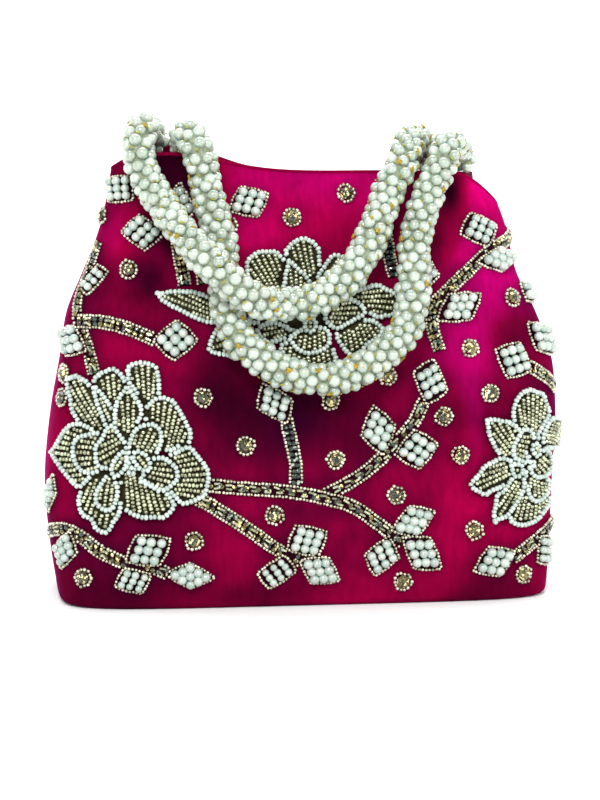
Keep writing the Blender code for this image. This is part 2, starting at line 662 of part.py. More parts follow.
def add_tab(name, rope_end, finish):
    """A sewn tape inside the mouth, from a handle's end down over the lining."""
    x, y, top = rope_end
    top -= CLEARANCE
    middle = distance_round(x, top, y > 0)
    corners = [(middle - TAB_WIDTH / 2, top - TAB_LENGTH), (middle + TAB_WIDTH / 2, top - TAB_LENGTH),
               (middle + TAB_WIDTH / 2, top), (middle - TAB_WIDTH / 2, top)]
    bm = plate([Vector(corner) for corner in corners], TAB_THICKNESS)
    depth = LINING_INSET + LINING_THICKNESS + CLEARANCE + TAB_THICKNESS
    bmesh.ops.translate(bm, verts=bm.verts[:], vec=(0, 0, -depth))
    fold_ready(bm, [middle - TAB_WIDTH / 6, middle + TAB_WIDTH / 6], [])
    wrap(bm)
    add_part(name, bm, finish)


for old in list(bpy.data.objects):
    bpy.data.objects.remove(old, do_unlink=True)
BAG = new_collection("potli_bag")
HELPERS = new_collection("helpers")
HELPERS.hide_render = True

VELVET = material("crimson_velvet", (0.42, 0.005, 0.10), 0.85)
LINING = material("satin_lining", (0.30, 0.01, 0.08), 0.45)
BOARD = material("stiffener_board", (0.42, 0.33, 0.22), 0.9)
TAPE = material("handle_tape", (0.70, 0.62, 0.42), 0.8)
PEARLS = material("ivory_pearl", (0.82, 0.80, 0.68), 0.25)
BEADWORK = material("gold_and_white_beads", (0.62, 0.57, 0.42), 0.35, 0.4)
LEAVES = material("pearl_leaf_and_gold_stem", (0.70, 0.67, 0.55), 0.35, 0.3)
CRYSTALS = material("smoky_crystal", (0.32, 0.27, 0.16), 0.15, 0.2)

velvet = open_shell(VELVET_COLUMNS, velvet_levels(), 0, 0)
thicken(add_part("velvet_body", velvet, VELVET, SMOOTH_ANGLE), VELVET_THICKNESS)

board_bottom = VELVET_THICKNESS + CLEARANCE
board_inset = BASE_EDGE_RADIUS + CLEARANCE
board = plate([section_point(2 * math.pi * step / LINING_COLUMNS, BASE_EDGE_RADIUS, board_inset).xy
               for step in range(LINING_COLUMNS)], BOARD_THICKNESS)
bmesh.ops.translate(board, verts=board.verts[:], vec=(0, 0, board_bottom))
add_part("base_board", board, BOARD)

lining_floor = board_bottom + BOARD_THICKNESS + CLEARANCE
lining = open_shell(LINING_COLUMNS, lining_levels(lining_floor), LINING_INSET, lining_floor)
thicken(add_part("lining", lining, LINING, SMOOTH_ANGLE), LINING_THICKNESS)

add_embroidery("flower_left", flower(LEFT_FLOWER, LEFT_BUD), BEADWORK)
add_embroidery("flower_centre", flower(CENTRE_FLOWER, CENTRE_BUD), BEADWORK)
add_embroidery("flower_right", flower(RIGHT_FLOWER, RIGHT_BUD), BEADWORK)
for name, parts in SPRAYS.items():
    add_embroidery(name, spray(parts["stems"], parts["leaves"]), LEAVES)
for name, row in LOOSE_LEAVES.items():
    add_embroidery(name, leaf(*row), LEAVES)
for number, centre in enumerate(STUDS, start=1):
    add_embroidery(f"stud_{number:02d}", stud(centre), CRYSTALS)

add_handle("handle_front", FRONT_ROUTE, PEARLS)
add_handle("handle_back", BACK_ROUTE, PEARLS)
add_tab("handle_tab_front_right", FRONT_ROUTE[0], TAPE)
add_tab("handle_tab_front_left", FRONT_ROUTE[-1], TAPE)
add_tab("handle_tab_back_right", BACK_ROUTE[0], TAPE)
add_tab("handle_tab_back_left", BACK_ROUTE[-1], TAPE)
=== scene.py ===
# %% [markdown]
# # A beaded velvet potli handbag
#
# The bag is a soft velvet body on a flat, stiff base. Its front carries hand embroidery: layered
# flowers in gold and white beads, vine stems with crystals, leaves filled with pearls, and small
# crystal studs. Two limp ropes of pearls are its handles.
#
# The solids of the bag are already there as a frame. Each step below puts a finished piece in the
# place of a solid. Everything is in metres, +Z is up and the bag's front faces -Y.

# %% Load the frame
import math

import bmesh
import bpy
import numpy as np
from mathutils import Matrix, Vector


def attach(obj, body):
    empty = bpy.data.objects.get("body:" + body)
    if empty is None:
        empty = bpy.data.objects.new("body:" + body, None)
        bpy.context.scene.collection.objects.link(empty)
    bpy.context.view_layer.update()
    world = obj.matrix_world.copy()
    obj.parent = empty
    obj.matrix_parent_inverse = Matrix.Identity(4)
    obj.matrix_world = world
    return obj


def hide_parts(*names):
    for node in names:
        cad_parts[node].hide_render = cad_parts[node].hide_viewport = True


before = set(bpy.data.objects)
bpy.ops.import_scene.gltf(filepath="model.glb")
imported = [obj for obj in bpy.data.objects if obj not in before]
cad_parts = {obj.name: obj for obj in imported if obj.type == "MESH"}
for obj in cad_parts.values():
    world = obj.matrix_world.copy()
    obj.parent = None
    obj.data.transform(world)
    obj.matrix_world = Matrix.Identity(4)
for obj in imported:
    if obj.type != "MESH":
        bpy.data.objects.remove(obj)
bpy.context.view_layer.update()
chance = np.random.default_rng(17)

# %% [markdown]
# ## Camera
#
# The photo was taken from nearly a metre away, a little to the bag's left and slightly above its
# middle. A long lens keeps the outline as calm as it is there. The small shift puts the bag where
# it stands in the picture.

# %% Camera
camera = bpy.data.objects.new("camera", bpy.data.cameras.new("camera"))
bpy.context.scene.collection.objects.link(camera)
camera.location = (-0.12526, -0.89124, 0.162)
aim = Vector((0, 0, 0.0773))
camera.rotation_euler = (aim - camera.location).to_track_quat("-Z", "Y").to_euler()
camera.data.lens = 99.2
camera.data.shift_x = 0.00125
camera.data.clip_start = 0.01
bpy.context.scene.camera = camera
print("camera lens", round(camera.data.lens, 1), "mm")

# %% [markdown]
# ## Beads as stamps
#
# The embroidery has thousands of beads of only a few kinds. Each kind is modelled once, with few
# faces, and its mesh is then stamped at every place where the maker's needle put one. A bead's own
# X runs along the thread and its Z points away from the cloth. A number called tone goes with each
# bead, so that a finish can make no two of them quite alike.

# %% A stamp from a modelled bead
TINY = 1e-12


def unit(vectors, guard=0.0):
    """The vectors made one long. A tiny guard is for lists that may hold an empty one."""
    return vectors / (np.linalg.norm(vectors, axis=-1, keepdims=True) + guard)


def as_stamp(bm, smooth):
    """The bead's points and faces, kept for stamping."""
    bmesh.ops.recalc_face_normals(bm, faces=bm.faces[:])
    bm.verts.index_update()
    corners = np.array([vert.co[:] for vert in bm.verts])
    faces = [[vert.index for vert in face.verts] for face in bm.faces]
    bm.free()
    return corners, faces, smooth


def stamped_mesh(name, stamp, centres, along, up, sizes):
    """One mesh with the stamp at every centre. sizes are its length, width and height there."""
    corners, faces, smooth = stamp
    along = unit(along)
    across = unit(np.cross(up, along))
    axes = np.stack([along, across, np.cross(along, across)], axis=1)
    points = centres[:, None] + (corners[None] * sizes[:, None]) @ axes
    count = len(centres)
    totals = np.tile([len(face) for face in faces], count)
    loops = np.concatenate(faces)[None] + np.arange(count)[:, None] * len(corners)
    mesh = bpy.data.meshes.new(name)
    mesh.vertices.add(count * len(corners))
    mesh.vertices.foreach_set("co", points.ravel())
    mesh.loops.add(loops.size)
    mesh.loops.foreach_set("vertex_index", loops.ravel())
    mesh.polygons.add(len(totals))
    mesh.polygons.foreach_set("loop_start", np.concatenate([[0], np.cumsum(totals)[:-1]]))
    mesh.update(calc_edges=True)
    mesh.polygons.foreach_set("use_smooth", np.full(len(totals), smooth))
    tone = mesh.attributes.new("tone", "FLOAT", "POINT")
    tone.data.foreach_set("value", np.repeat(chance.random(count), len(corners)))
    return mesh


def piece(name, mesh, finish, nodes=()):
    """A finished piece that moves with the bag and stands for these solids."""
    obj = bpy.data.objects.new(name, mesh)
    mesh.materials.clear()
    mesh.materials.append(finish)
    bpy.context.scene.collection.objects.link(obj)
    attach(obj, "root")
    if nodes:
        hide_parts(*nodes)
    return obj


# %% The kinds of beads, each about one unit in size
QUARTER = Vector((0, 0, 1)).rotation_difference(Vector((1, 0, 0))).to_matrix()


def pearl_bead():
    """A round pearl."""
    bm = bmesh.new()
    bmesh.ops.create_icosphere(bm, subdivisions=2, radius=0.5)
    return bm


def tube_bead(sides, shoulder, steps=1):
    """A short tube along X with rounded shoulders, like a glass seed bead."""
    bm = bmesh.new()
    bmesh.ops.create_cone(bm, cap_ends=True, segments=sides, radius1=0.5, radius2=0.5, depth=1)
    rims = [edge for edge in bm.edges if abs(edge.verts[0].co.z - edge.verts[1].co.z) < 0.5]
    bmesh.ops.bevel(bm, geom=rims, offset=shoulder, offset_type="OFFSET", affect="EDGES",
                    segments=steps, profile=0.5, material=-1)
    bmesh.ops.rotate(bm, verts=bm.verts[:], matrix=QUARTER)
    return bm


def crystal(sides):
    """A faceted stone: a broad girdle, a slanted crown with a small table, a blunt point below."""
    bm = bmesh.new()
    bmesh.ops.create_cone(bm, cap_ends=True, segments=sides, radius1=0.5, radius2=0.5, depth=0.2)
    top = [face for face in bm.faces if face.normal.z > 0.9]
    bmesh.ops.inset_region(bm, faces=top, thickness=0.13, depth=0.22, use_even_offset=True)
    bmesh.ops.inset_region(bm, faces=top, thickness=0.15, depth=0.12, use_even_offset=True)
    under = [face for face in bm.faces if face.normal.z < -0.9]
    bmesh.ops.inset_region(bm, faces=under, thickness=0.3, depth=0.3, use_even_offset=True)
    return bm


BARREL = as_stamp(tube_bead(8, 0.24), True)
SEED = as_stamp(tube_bead(6, 0.26), True)
ROUND_SEED = as_stamp(tube_bead(8, 0.32, 2), True)
PEARL = as_stamp(pearl_bead(), True)
CUT_BEAD = as_stamp(tube_bead(6, 0.12), False)
CRYSTAL = as_stamp(crystal(8), False)
print("faces of a seed bead", len(SEED[1]), "and of a pearl", len(PEARL[1]))

# %% [markdown]
# ## Finishes of the beads
#
# White seeds are opaque glass. The gold beads are silver-lined glass and gilt, which looks like
# pale champagne metal. Each finish shifts in colour and gloss with the bead's tone, because the
# beads on one thread never catch the light alike.
#
# The pearls are plastic with an ivory coat. Light sinks a little way into the coat before it comes
# out again, so their shaded sides stay soft and milky, and a glossy layer over it gives each pearl
# its small bright spot.
#
# A few small tools come first, because every finish below is put together from the same parts.


# %% Parts that every finish is made of
def fill_in(node, settings):
    """Sets a node's inputs by their names."""
    for socket, value in settings.items():
        node.inputs[socket].default_value = value


def new_finish(name, settings):
    """A finish with its main shader filled in, to build on."""
    made = bpy.data.materials.new(name)
    made.use_nodes = True
    shader = made.node_tree.nodes["Principled BSDF"]
    fill_in(shader, settings)
    return made, made.node_tree, shader


def place_of(tree):
    """Where a point lies on the object, which keeps a pattern still when the bag moves."""
    return tree.nodes.new("ShaderNodeTexCoord").outputs["Object"]


def attribute(tree, name):
    """A number that the mesh itself carries, such as each bead's tone."""
    node = tree.nodes.new("ShaderNodeAttribute")
    node.attribute_name = name
    return node.outputs["Fac"]


def noise(tree, where, scale, detail=2.0, distortion=0.0):
    """A cloudy pattern. A scale of 1000 gives grains of about a millimetre."""
    node = tree.nodes.new("ShaderNodeTexNoise")
    fill_in(node, {"Scale": scale, "Detail": detail, "Distortion": distortion})
    tree.links.new(where, node.inputs["Vector"])
    return node.outputs["Fac"]


# %% Colours, relief and mixing
def colours(tree, source, stops, change="LINEAR"):
    """The colour for each value of the source, from (value, colour) stops in rising order."""
    ramp = tree.nodes.new("ShaderNodeValToRGB")
    ramp.color_ramp.interpolation = change
    for end, (value, colour) in zip(ramp.color_ramp.elements, (stops[0], stops[-1])):
        end.position = value
        end.color = (*colour, 1)
    for value, colour in stops[1:-1]:
        ramp.color_ramp.elements.new(value).color = (*colour, 1)
    tree.links.new(source, ramp.inputs["Fac"])
    return ramp.outputs["Color"]


def bump(tree, height, strength, distance, under=None):
    """A relief from a height, laid over another relief where there is one."""
    node = tree.nodes.new("ShaderNodeBump")
    fill_in(node, {"Strength": strength, "Distance": distance})
    tree.links.new(height, node.inputs["Height"])
    if under:
        tree.links.new(under, node.inputs["Normal"])
    return node.outputs["Normal"]


def between(tree, share, first, second, blend="MIX"):
    """One colour over another. The share is a fixed number or another node's value."""
    mix = tree.nodes.new("ShaderNodeMix")
    mix.data_type = "RGBA"
    mix.blend_type = blend
    for socket, source in (("Factor", share), ("A", first), ("B", second)):
        if isinstance(source, bpy.types.NodeSocket):
            tree.links.new(source, mix.inputs[socket])
        else:
            mix.inputs[socket].default_value = source
    return mix.outputs["Result"]


# %% A finish that varies from bead to bead
def bead_finish(name, dark, light, roughness, metallic, coat, grain):
    """Runs from dark to light with the bead's tone, and has a fine grain."""
    made, tree, shader = new_finish(name, {"Metallic": metallic, "Coat Weight": coat,
                                           "Coat Roughness": 0.08})
    tone = attribute(tree, "tone")
    tree.links.new(colours(tree, tone, ((0, dark), (1, light))), shader.inputs["Base Color"])
    gloss = tree.nodes.new("ShaderNodeMapRange")
    fill_in(gloss, {"To Min": roughness * 0.7, "To Max": roughness * 1.4})
    tree.links.new(tone, gloss.inputs["Value"])
    tree.links.new(gloss.outputs["Result"], shader.inputs["Roughness"])
    grains = noise(tree, place_of(tree), grain)
    tree.links.new(bump(tree, grains, 0.15, 0.0002), shader.inputs["Normal"])
    return made


ivory_pearl = bead_finish("ivory_pearl", (0.28, 0.35, 0.27), (0.45, 0.53, 0.45), 0.28, 0.0, 1.0, 900)
leaf_pearl = bead_finish("leaf_pearl", (0.28, 0.37, 0.32), (0.46, 0.53, 0.47), 0.26, 0.0, 1.0, 900)
white_seed = bead_finish("white_seed", (0.35, 0.43, 0.39), (0.56, 0.65, 0.59), 0.20, 0.0, 0.7, 1500)
gold_bead = bead_finish("gold_bead", (0.18, 0.19, 0.10), (0.60, 0.63, 0.42), 0.20, 0.6, 1.0, 1500)
gilt_seed = bead_finish("gilt_seed", (0.26, 0.23, 0.15), (0.80, 0.74, 0.58), 0.20, 0.6, 1.0, 1500)

# %% The pearls' milky coat
for milky in (ivory_pearl, leaf_pearl):
    fill_in(milky.node_tree.nodes["Principled BSDF"], {
        "Subsurface Weight": 0.35, "Subsurface Scale": 0.0015, "Specular IOR Level": 0.8,
        "Coat Roughness": 0.16, "Coat IOR": 1.8,
    })


# %% Cut stones
def stone_finish(name, deep, dark, body, painted_glint):
    """A dark stone with many small facets: each cell of the pattern is one facet, coloured as a painted
    reflection, from dark facets to bright painted glints.
    """
    made, tree, shader = new_finish(name, {"Roughness": 0.12, "Metallic": 0.35, "Coat Weight": 1.0,
                                           "Coat Roughness": 0.03})
    facets = tree.nodes.new("ShaderNodeTexVoronoi")
    facets.inputs["Scale"].default_value = 1100
    tree.links.new(place_of(tree), facets.inputs["Vector"])
    # Painted reflections: every facet is coloured deep, as the stone, or as a bright painted glint.
    darker, lighter = (colours(tree, facets.outputs["Color"], ((0, deep), (0.40, colour), (0.74, painted_glint)),
                               "CONSTANT") for colour in (dark, body))
    tree.links.new(between(tree, attribute(tree, "tone"), darker, lighter), shader.inputs["Base Color"])
    tree.links.new(bump(tree, facets.outputs["Distance"], 0.5, 0.0004), shader.inputs["Normal"])
    return made


smoky_stone = stone_finish("smoky_stone", (0.010, 0.010, 0.003), (0.040, 0.045, 0.015),
                           (0.16, 0.13, 0.018), (0.90, 0.80, 0.36))
dark_stone = stone_finish("dark_stone", (0.002, 0.003, 0.004), (0.008, 0.016, 0.014),
                          (0.030, 0.055, 0.042), (0.40, 0.48, 0.38))
print("bead finishes made:", len(bpy.data.materials))

# %% [markdown]
# ## The handles
#
# Each handle is a rope of pearls: a thick thread core with six pearls round it in every ring, and
# each ring turned by half a pearl against the last, so that the pearls nest. The rope is limp. It
# rises from its end in the mouth, bends over the rim and hangs down the front in a loop.
#
# A smooth curve through the same points as the solid's gives the middle line. A frame that doesn't
# twist is carried along it, and the rings of pearls are stamped round it. Yellow thread comes up
# between the pearls in short strokes, with a few crossed stitches in the wider gaps.


# %% Smooth curve through points
def run_along(points):
    """How far along a line each of its points lies."""
    return np.concatenate([[0], np.cumsum(np.linalg.norm(np.diff(points, axis=0), axis=1))])


def at_distance(stops, run, values):
    """The rows of values at these distances along a line."""
    return np.stack([np.interp(stops, run, column) for column in values.T], axis=1)


def smooth_step(t, span, start, end, leaving, arriving):
    """From start to end as t goes from 0 to 1 over the span, with the slopes given for both."""
    ends = (2 * t**3 - 3 * t**2 + 1) * start + (3 * t**2 - 2 * t**3) * end
    return ends + ((t**3 - 2 * t**2 + t) * leaving + (t**3 - t**2) * arriving) * span


def smooth_curve(knots, step):
    """Points about step apart on a smooth curve through the knots, as an array."""
    knots = np.array(knots, float)
    chords = run_along(knots)
    slopes = np.gradient(knots, chords, axis=0)
    dense = np.linspace(0, chords[-1], len(knots) * 24)
    row = np.clip(np.searchsorted(chords, dense, side="right") - 1, 0, len(knots) - 2)
    span = (chords[row + 1] - chords[row])[:, None]
    t = (dense - chords[row])[:, None] / span
    curve = smooth_step(t, span, knots[row], knots[row + 1], slopes[row], slopes[row + 1])
    length = run_along(curve)
    return at_distance(np.linspace(0, length[-1], max(round(length[-1] / step), 2) + 1), length, curve)


def steady_frames(points):
    """Directions along a line and a side direction that never twists about it."""
    along = unit(np.gradient(points, axis=0))
    side = np.zeros_like(along)
    side[0] = np.cross(along[0], (1, 0, 0))
    side[0] /= np.linalg.norm(side[0])
    for index in range(1, len(along)):
        carried = side[index - 1] - along[index] * (side[index - 1] @ along[index])
        side[index] = carried / np.linalg.norm(carried)
    return along, side


# %% Routes of the two handles, from the right end to the left end
FRONT_ROUTE = (
    (0.0665, -0.0042, 0.1716), (0.0665, -0.0042, 0.1741), (0.0620, -0.0092, 0.1794),
    (0.0588, -0.0159, 0.1806), (0.0553, -0.0231, 0.1761), (0.0522, -0.0255, 0.1696),
    (0.0455, -0.0303, 0.1563), (0.0412, -0.0354, 0.1415), (0.0401, -0.0398, 0.1256),
    (0.0360, -0.0447, 0.1094), (0.0233, -0.0486, 0.0969), (0.0063, -0.0500, 0.0901),
    (-0.0118, -0.0491, 0.0927), (-0.0289, -0.0467, 0.1043), (-0.0346, -0.0411, 0.1210),
    (-0.0352, -0.0360, 0.1376), (-0.0376, -0.0317, 0.1511), (-0.0408, -0.0272, 0.1653),
    (-0.0431, -0.0269, 0.1770), (-0.0457, -0.0204, 0.1839), (-0.0470, -0.0122, 0.1844),
    (-0.0470, -0.0053, 0.1804), (-0.0470, -0.0053, 0.1766),
)
BACK_ROUTE = (
    (0.0562, 0.0064, 0.1716), (0.0562, 0.0064, 0.1748), (0.0536, 0.0054, 0.1785),
    (0.0499, 0.0013, 0.1827), (0.0444, -0.0084, 0.1826), (0.0402, -0.0196, 0.1778),
    (0.0358, -0.0276, 0.1702), (0.0302, -0.0306, 0.1597), (0.0236, -0.0362, 0.1442),
    (0.0143, -0.0410, 0.1300), (-0.0023, -0.0440, 0.1199), (-0.0130, -0.0460, 0.1188),
    (-0.0235, -0.0527, 0.1208), (-0.0330, -0.0558, 0.1268), (-0.0430, -0.0510, 0.1362),
    (-0.0501, -0.0415, 0.1451), (-0.0560, -0.0315, 0.1542), (-0.0613, -0.0262, 0.1629),
    (-0.0655, -0.0226, 0.1713), (-0.0664, -0.0212, 0.1776), (-0.0658, -0.0162, 0.1837),
    (-0.0634, -0.0082, 0.1876), (-0.0611, -0.0012, 0.1862), (-0.0586, 0.0037, 0.1815),
    (-0.0586, 0.0037, 0.1790),
)


# %% Thread finish
def thread_finish(name, colour, scale, shine=0.3):
    """Spun thread or plain cloth: strands in two shades, with a shallow relief."""
    made, tree, shader = new_finish(name, {"Roughness": 0.6, "Specular IOR Level": shine})
    strands = noise(tree, place_of(tree), scale, 4)
    shade = [part * 0.55 for part in colour]
    tree.links.new(colours(tree, strands, ((0.35, shade), (0.65, colour))), shader.inputs["Base Color"])
    tree.links.new(bump(tree, strands, 0.5, 0.0003), shader.inputs["Normal"])
    return made


# The core's grey-green is painted shade: it stands for the shaded pearls deep in the rope where the core
# shows between them.
core_thread_shade = thread_finish("core_thread_shade", (0.28, 0.33, 0.22), 700)
yellow_thread = thread_finish("yellow_thread", (0.40, 0.38, 0.04), 900)
golden_thread = thread_finish("golden_thread", (0.46, 0.31, 0.015), 900)


# %% A round cord through points
def round_cord(name, points, radius, rounding, closed, finish):
    """A piece with a round section that runs through the points."""
    curve = bpy.data.curves.new(name, "CURVE")
    curve.dimensions = "3D"
    spline = curve.splines.new("POLY")
    spline.points.add(len(points) - 1)
    for target, point in zip(spline.points, points):
        target.co = (*point, 1)
    spline.use_cyclic_u = closed
    curve.bevel_depth = radius
    curve.bevel_resolution = rounding
    curve.use_fill_caps = not closed
    return piece(name, curve, finish)


# %% Stitches and knots of a handle
PEARL_SIZE = 0.0048
RING_RADIUS = 0.0047
RING_PITCH = 0.0041
PEARLS_ROUND = 6
CORE_RADIUS = RING_RADIUS - 0.0003
STITCH_SHARE, KNOT_SHARE = 0.55, 0.09


def make_stitches(name, centres, outward):
    """Short strokes of yellow thread that come up in the grooves between two pearls."""
    first = np.flatnonzero(chance.random(len(centres) - PEARLS_ROUND) < STITCH_SHARE)
    second = first + PEARLS_ROUND
    out = unit(outward[first] + outward[second])
    middle = (centres[first] + centres[second]) / 2 + out * 0.0017
    groove = np.cross(centres[second] - centres[first], out)
    count = len(first)
    sizes = np.stack([chance.uniform(0.0014, 0.0026, count), np.full(count, 0.00065),
                      np.full(count, 0.0007)], axis=1)
    mesh = stamped_mesh(name + "_stitches", SEED, middle, groove, out, sizes)
    return piece(name + "_stitches", mesh, yellow_thread)


def make_knots(name, centres, outward, forward):
    """A few crossed golden stitches in the wider gaps."""
    chosen = np.flatnonzero(chance.random(len(centres)) < KNOT_SHARE)
    across = np.cross(forward[chosen], outward[chosen])
    middle = centres[chosen] + forward[chosen] * RING_PITCH * 0.5 + across * 0.0012 + outward[chosen] * 0.0015
    headings = np.concatenate([forward[chosen] + across * 0.8, forward[chosen] - across * 0.8])
    sizes = np.tile((0.0030, 0.0009, 0.0010), (2 * len(chosen), 1))
    mesh = stamped_mesh(name + "_knots", SEED, np.tile(middle, (2, 1)), headings,
                        np.tile(outward[chosen], (2, 1)), sizes)
    return piece(name + "_knots", mesh, golden_thread)


# %% Make a handle
def make_handle(name, node, route):
    """A rope of pearls along a route."""
    line = smooth_curve(route[1:-1], 0.0005)
    line = np.concatenate([np.linspace(route[0], line[0], 7)[:-1], line,
                           np.linspace(line[-1], route[-1], 7)[1:]])
    run = run_along(line)
    rings = int((run[-1] - PEARL_SIZE) / RING_PITCH) + 1
    ring = np.repeat(np.arange(rings), PEARLS_ROUND)
    place = np.tile(np.arange(PEARLS_ROUND), rings)
    count = len(ring)
    start = (run[-1] - (rings - 1) * RING_PITCH) / 2
    s = start + ring * RING_PITCH + chance.normal(0, 0.00035, count)
    turn = 2 * math.pi * (place + ring / 2) / PEARLS_ROUND + ring * 0.03 + chance.normal(0, 0.08, count)
    here, forward, up = (at_distance(s, run, values) for values in (line, *steady_frames(line)))
    outward = up * np.cos(turn)[:, None] + np.cross(forward, up) * np.sin(turn)[:, None]
    centres = here + outward * (RING_RADIUS + chance.normal(0, 0.00022, (count, 1)))
    sizes = PEARL_SIZE * (1 + chance.normal(0, 0.03, (count, 1))) * np.ones(3)
    mesh = stamped_mesh(name + "_pearls", PEARL, centres, forward, outward, sizes)
    pearls = piece(name + "_pearls", mesh, ivory_pearl, [node])
    spare = [round_cord(name + "_core", line[::8], CORE_RADIUS, 3, False, core_thread_shade),
             make_stitches(name, centres, outward),
             make_knots(name, centres, outward, forward)]
    print(name, "is", round(1000 * run[-1]), "mm long with", count, "pearls in", rings, "rings")


make_handle("front_rope", "handle_front", FRONT_ROUTE)
make_handle("back_rope", "handle_back", BACK_ROUTE)

# %% [markdown]
# ## Light and floor
#
# The bag stands on white paper that is bent up softly all round it, so there is no horizon from any
# side. The main lamp is in front, high and a little to the left: it gives each pearl a highlight
# near its top, as in the photo. A weaker, broader one stands on the right, one behind draws the
# velvet's edges, and one lights the paper behind the bag. The standard view transform keeps the
# velvet's strong crimson and the clean white, which the default one would turn pale and grey.


# %% Lamps and sky
def area_lamp(name, place, target, size, power, colour):
    """A square soft lamp that points at a target."""
    lamp = bpy.data.objects.new(name, bpy.data.lights.new(name, "AREA"))
    lamp.data.size = size
    lamp.data.energy = power
    lamp.data.color = colour
    lamp.location = place
    lamp.rotation_euler = (Vector(target) - Vector(place)).to_track_quat("-Z", "Y").to_euler()
    bpy.context.scene.collection.objects.link(lamp)


bpy.context.scene.view_settings.view_transform = "Standard"
area_lamp("key_lamp", (-0.24, -0.92, 0.74), (0, 0, 0.10), 0.32, 10, (1.0, 0.99, 0.97))
area_lamp("fill_lamp", (0.80, -0.60, 0.45), (0, 0, 0.10), 0.60, 2.5, (0.99, 1.0, 0.96))
area_lamp("edge_lamp", (0.25, 0.80, 0.70), (0, 0, 0.12), 0.60, 3, (1.0, 0.98, 1.0))
area_lamp("paper_lamp", (0.0, 0.55, 1.60), (0, 1.6, 0.2), 1.20, 28, (1.0, 1.0, 1.0))

sky = bpy.data.worlds.new("sky")
sky.use_nodes = True
fill_in(sky.node_tree.nodes["Background"], {"Color": (0.97, 0.98, 1.0, 1), "Strength": 0.50})
bpy.context.scene.world = sky


# %% Paper floor
def as_mesh(bm, name, smooth=True):
    """The modelled shape as a mesh."""
    mesh = bpy.data.meshes.new(name)
    bm.to_mesh(mesh)
    bm.free()
    if smooth:
        mesh.shade_smooth()
    return mesh


PAPER_FLAT, PAPER_BEND = 0.9, 0.8
floor_shape = bmesh.new()
bmesh.ops.create_grid(floor_shape, x_segments=80, y_segments=80, size=3)
for vert in floor_shape.verts:
    reach = max(vert.co.length, 1e-6)
    bend = min(max((reach - PAPER_FLAT) / PAPER_BEND, 0), math.pi / 2)
    upright = max(reach - PAPER_FLAT - PAPER_BEND * bend, 0)
    vert.co *= (min(reach, PAPER_FLAT) + PAPER_BEND * math.sin(bend)) / reach
    vert.co.z = PAPER_BEND * (1 - math.cos(bend)) + upright
floor = bpy.data.objects.new("floor", as_mesh(floor_shape, "floor"))
bpy.context.scene.collection.objects.link(floor)
white_paper, _, _ = new_finish("white_paper", {"Base Color": (0.90, 0.90, 0.91, 1), "Roughness": 0.9,
                                               "Specular IOR Level": 0.1})
floor.data.materials.append(white_paper)

# %% [markdown]
# ## The bag's wall
#
# The velvet body is a loft: at every height its section is a rounded box, broad and nearly
# rectangular at the base and a narrow oval at the mouth. A short table gives the left half, the
# right half, the depth and the squareness at a few heights, and a smooth curve runs through its
# rows. The same numbers made the solid, so the velvet lies where the solid is.
#
# Everything that is sewn on has its place on a flat pattern: u runs round the bag from the front
# centre and v runs up from the base. A grid of points on the wall, with its directions, turns a
# place on the pattern into a place on the bag.

# %% Outline of the bag
BODY_HEIGHT = 0.170
BASE_WIDTH, MOUTH_WIDTH = 0.198, 0.1545
BASE_DEPTH, MOUTH_DEPTH = 0.090, 0.034
BASE_EDGE = 0.003
UNIT = BODY_HEIGHT / 100
OUTLINE = np.array([
    (0.00, 0.00, 0.02, 0.00, 5.5),
    (0.12, -0.14, -0.07, -0.04, 5.0),
    (0.28, -0.23, -0.16, 0.02, 4.4),
    (0.45, -0.12, -0.25, 0.13, 3.8),
    (0.565, 0.06, -0.21, 0.25, 3.5),
    (0.68, 0.22, 0.09, 0.43, 3.3),
    (0.76, 0.46, 0.39, 0.57, 3.1),
    (0.87, 0.78, 0.60, 0.77, 2.9),
    (1.00, 1.03, 0.97, 1.00, 2.6),
    (1.12, 1.20, 1.16, 1.16, 2.5),
])


def outline_at(share, column):
    """A column of the outline's table, read between its rows."""
    heights, values = OUTLINE[:, 0], OUTLINE[:, column]
    slopes = np.gradient(values, heights)
    row = np.clip(np.searchsorted(heights, share, side="right") - 1, 0, len(heights) - 2)
    step = heights[row + 1] - heights[row]
    t = (share - heights[row]) / step
    return smooth_step(t, step, values[row], values[row + 1], slopes[row], slopes[row + 1])


def section(turns, z, inset=0.0):
    """Points of the wall at a height. A turn of 0 is the front centre, and it grows towards +X."""
    share = z / BODY_HEIGHT
    sines, cosines = np.sin(turns), np.cos(turns)
    below = np.clip(BASE_EDGE - z, 0, BASE_EDGE)
    rounding = BASE_EDGE - np.sqrt(np.maximum(BASE_EDGE**2 - below**2, 0)) + inset
    side = np.where(sines < 0, outline_at(share, 1), outline_at(share, 2))
    half_width = (BASE_WIDTH + (MOUTH_WIDTH - BASE_WIDTH) * side) / 2 - rounding
    half_depth = (BASE_DEPTH + (MOUTH_DEPTH - BASE_DEPTH) * outline_at(share, 3)) / 2 - rounding
    power = 2 / outline_at(share, 4)
    x = np.sign(sines) * np.abs(sines) ** power * half_width
    y = -np.sign(cosines) * np.abs(cosines) ** power * half_depth
    return np.stack([x, y, np.broadcast_to(z, x.shape)], axis=-1)


def rim_height(turns):
    """The mouth's edge: the left half is pulled up by the handles, and the corners droop."""
    x = section(turns, np.full(np.shape(turns), BODY_HEIGHT))[..., 0]
    front = (1 + np.cos(turns)) / 2
    pull = (0.0065 * front + 0.0110 * (1 - front)) * np.exp(-(((x + 0.054) / 0.028) ** 2))
    corner = np.clip((np.abs(x) / (MOUTH_WIDTH / 2) - 0.80) / 0.20, 0, 1)
    return BODY_HEIGHT + pull - np.where(x < 0, 0.003, 0.012) * corner**2


all_round = rim_height(np.linspace(0, 6.28, 90))
print("the rim is between", all_round.min(), "and", all_round.max())

# %% [markdown]
# ## Soft folds
#
# Real velvet over a soft lining is never as smooth as a loft. Shallow hollows and swells, a
# millimetre or so deep, run down from the mouth, and the sides give a little under the rim. They
# fade out towards the stiff base. The folds are a smooth height field on the wall, so the
# embroidery can follow them exactly.

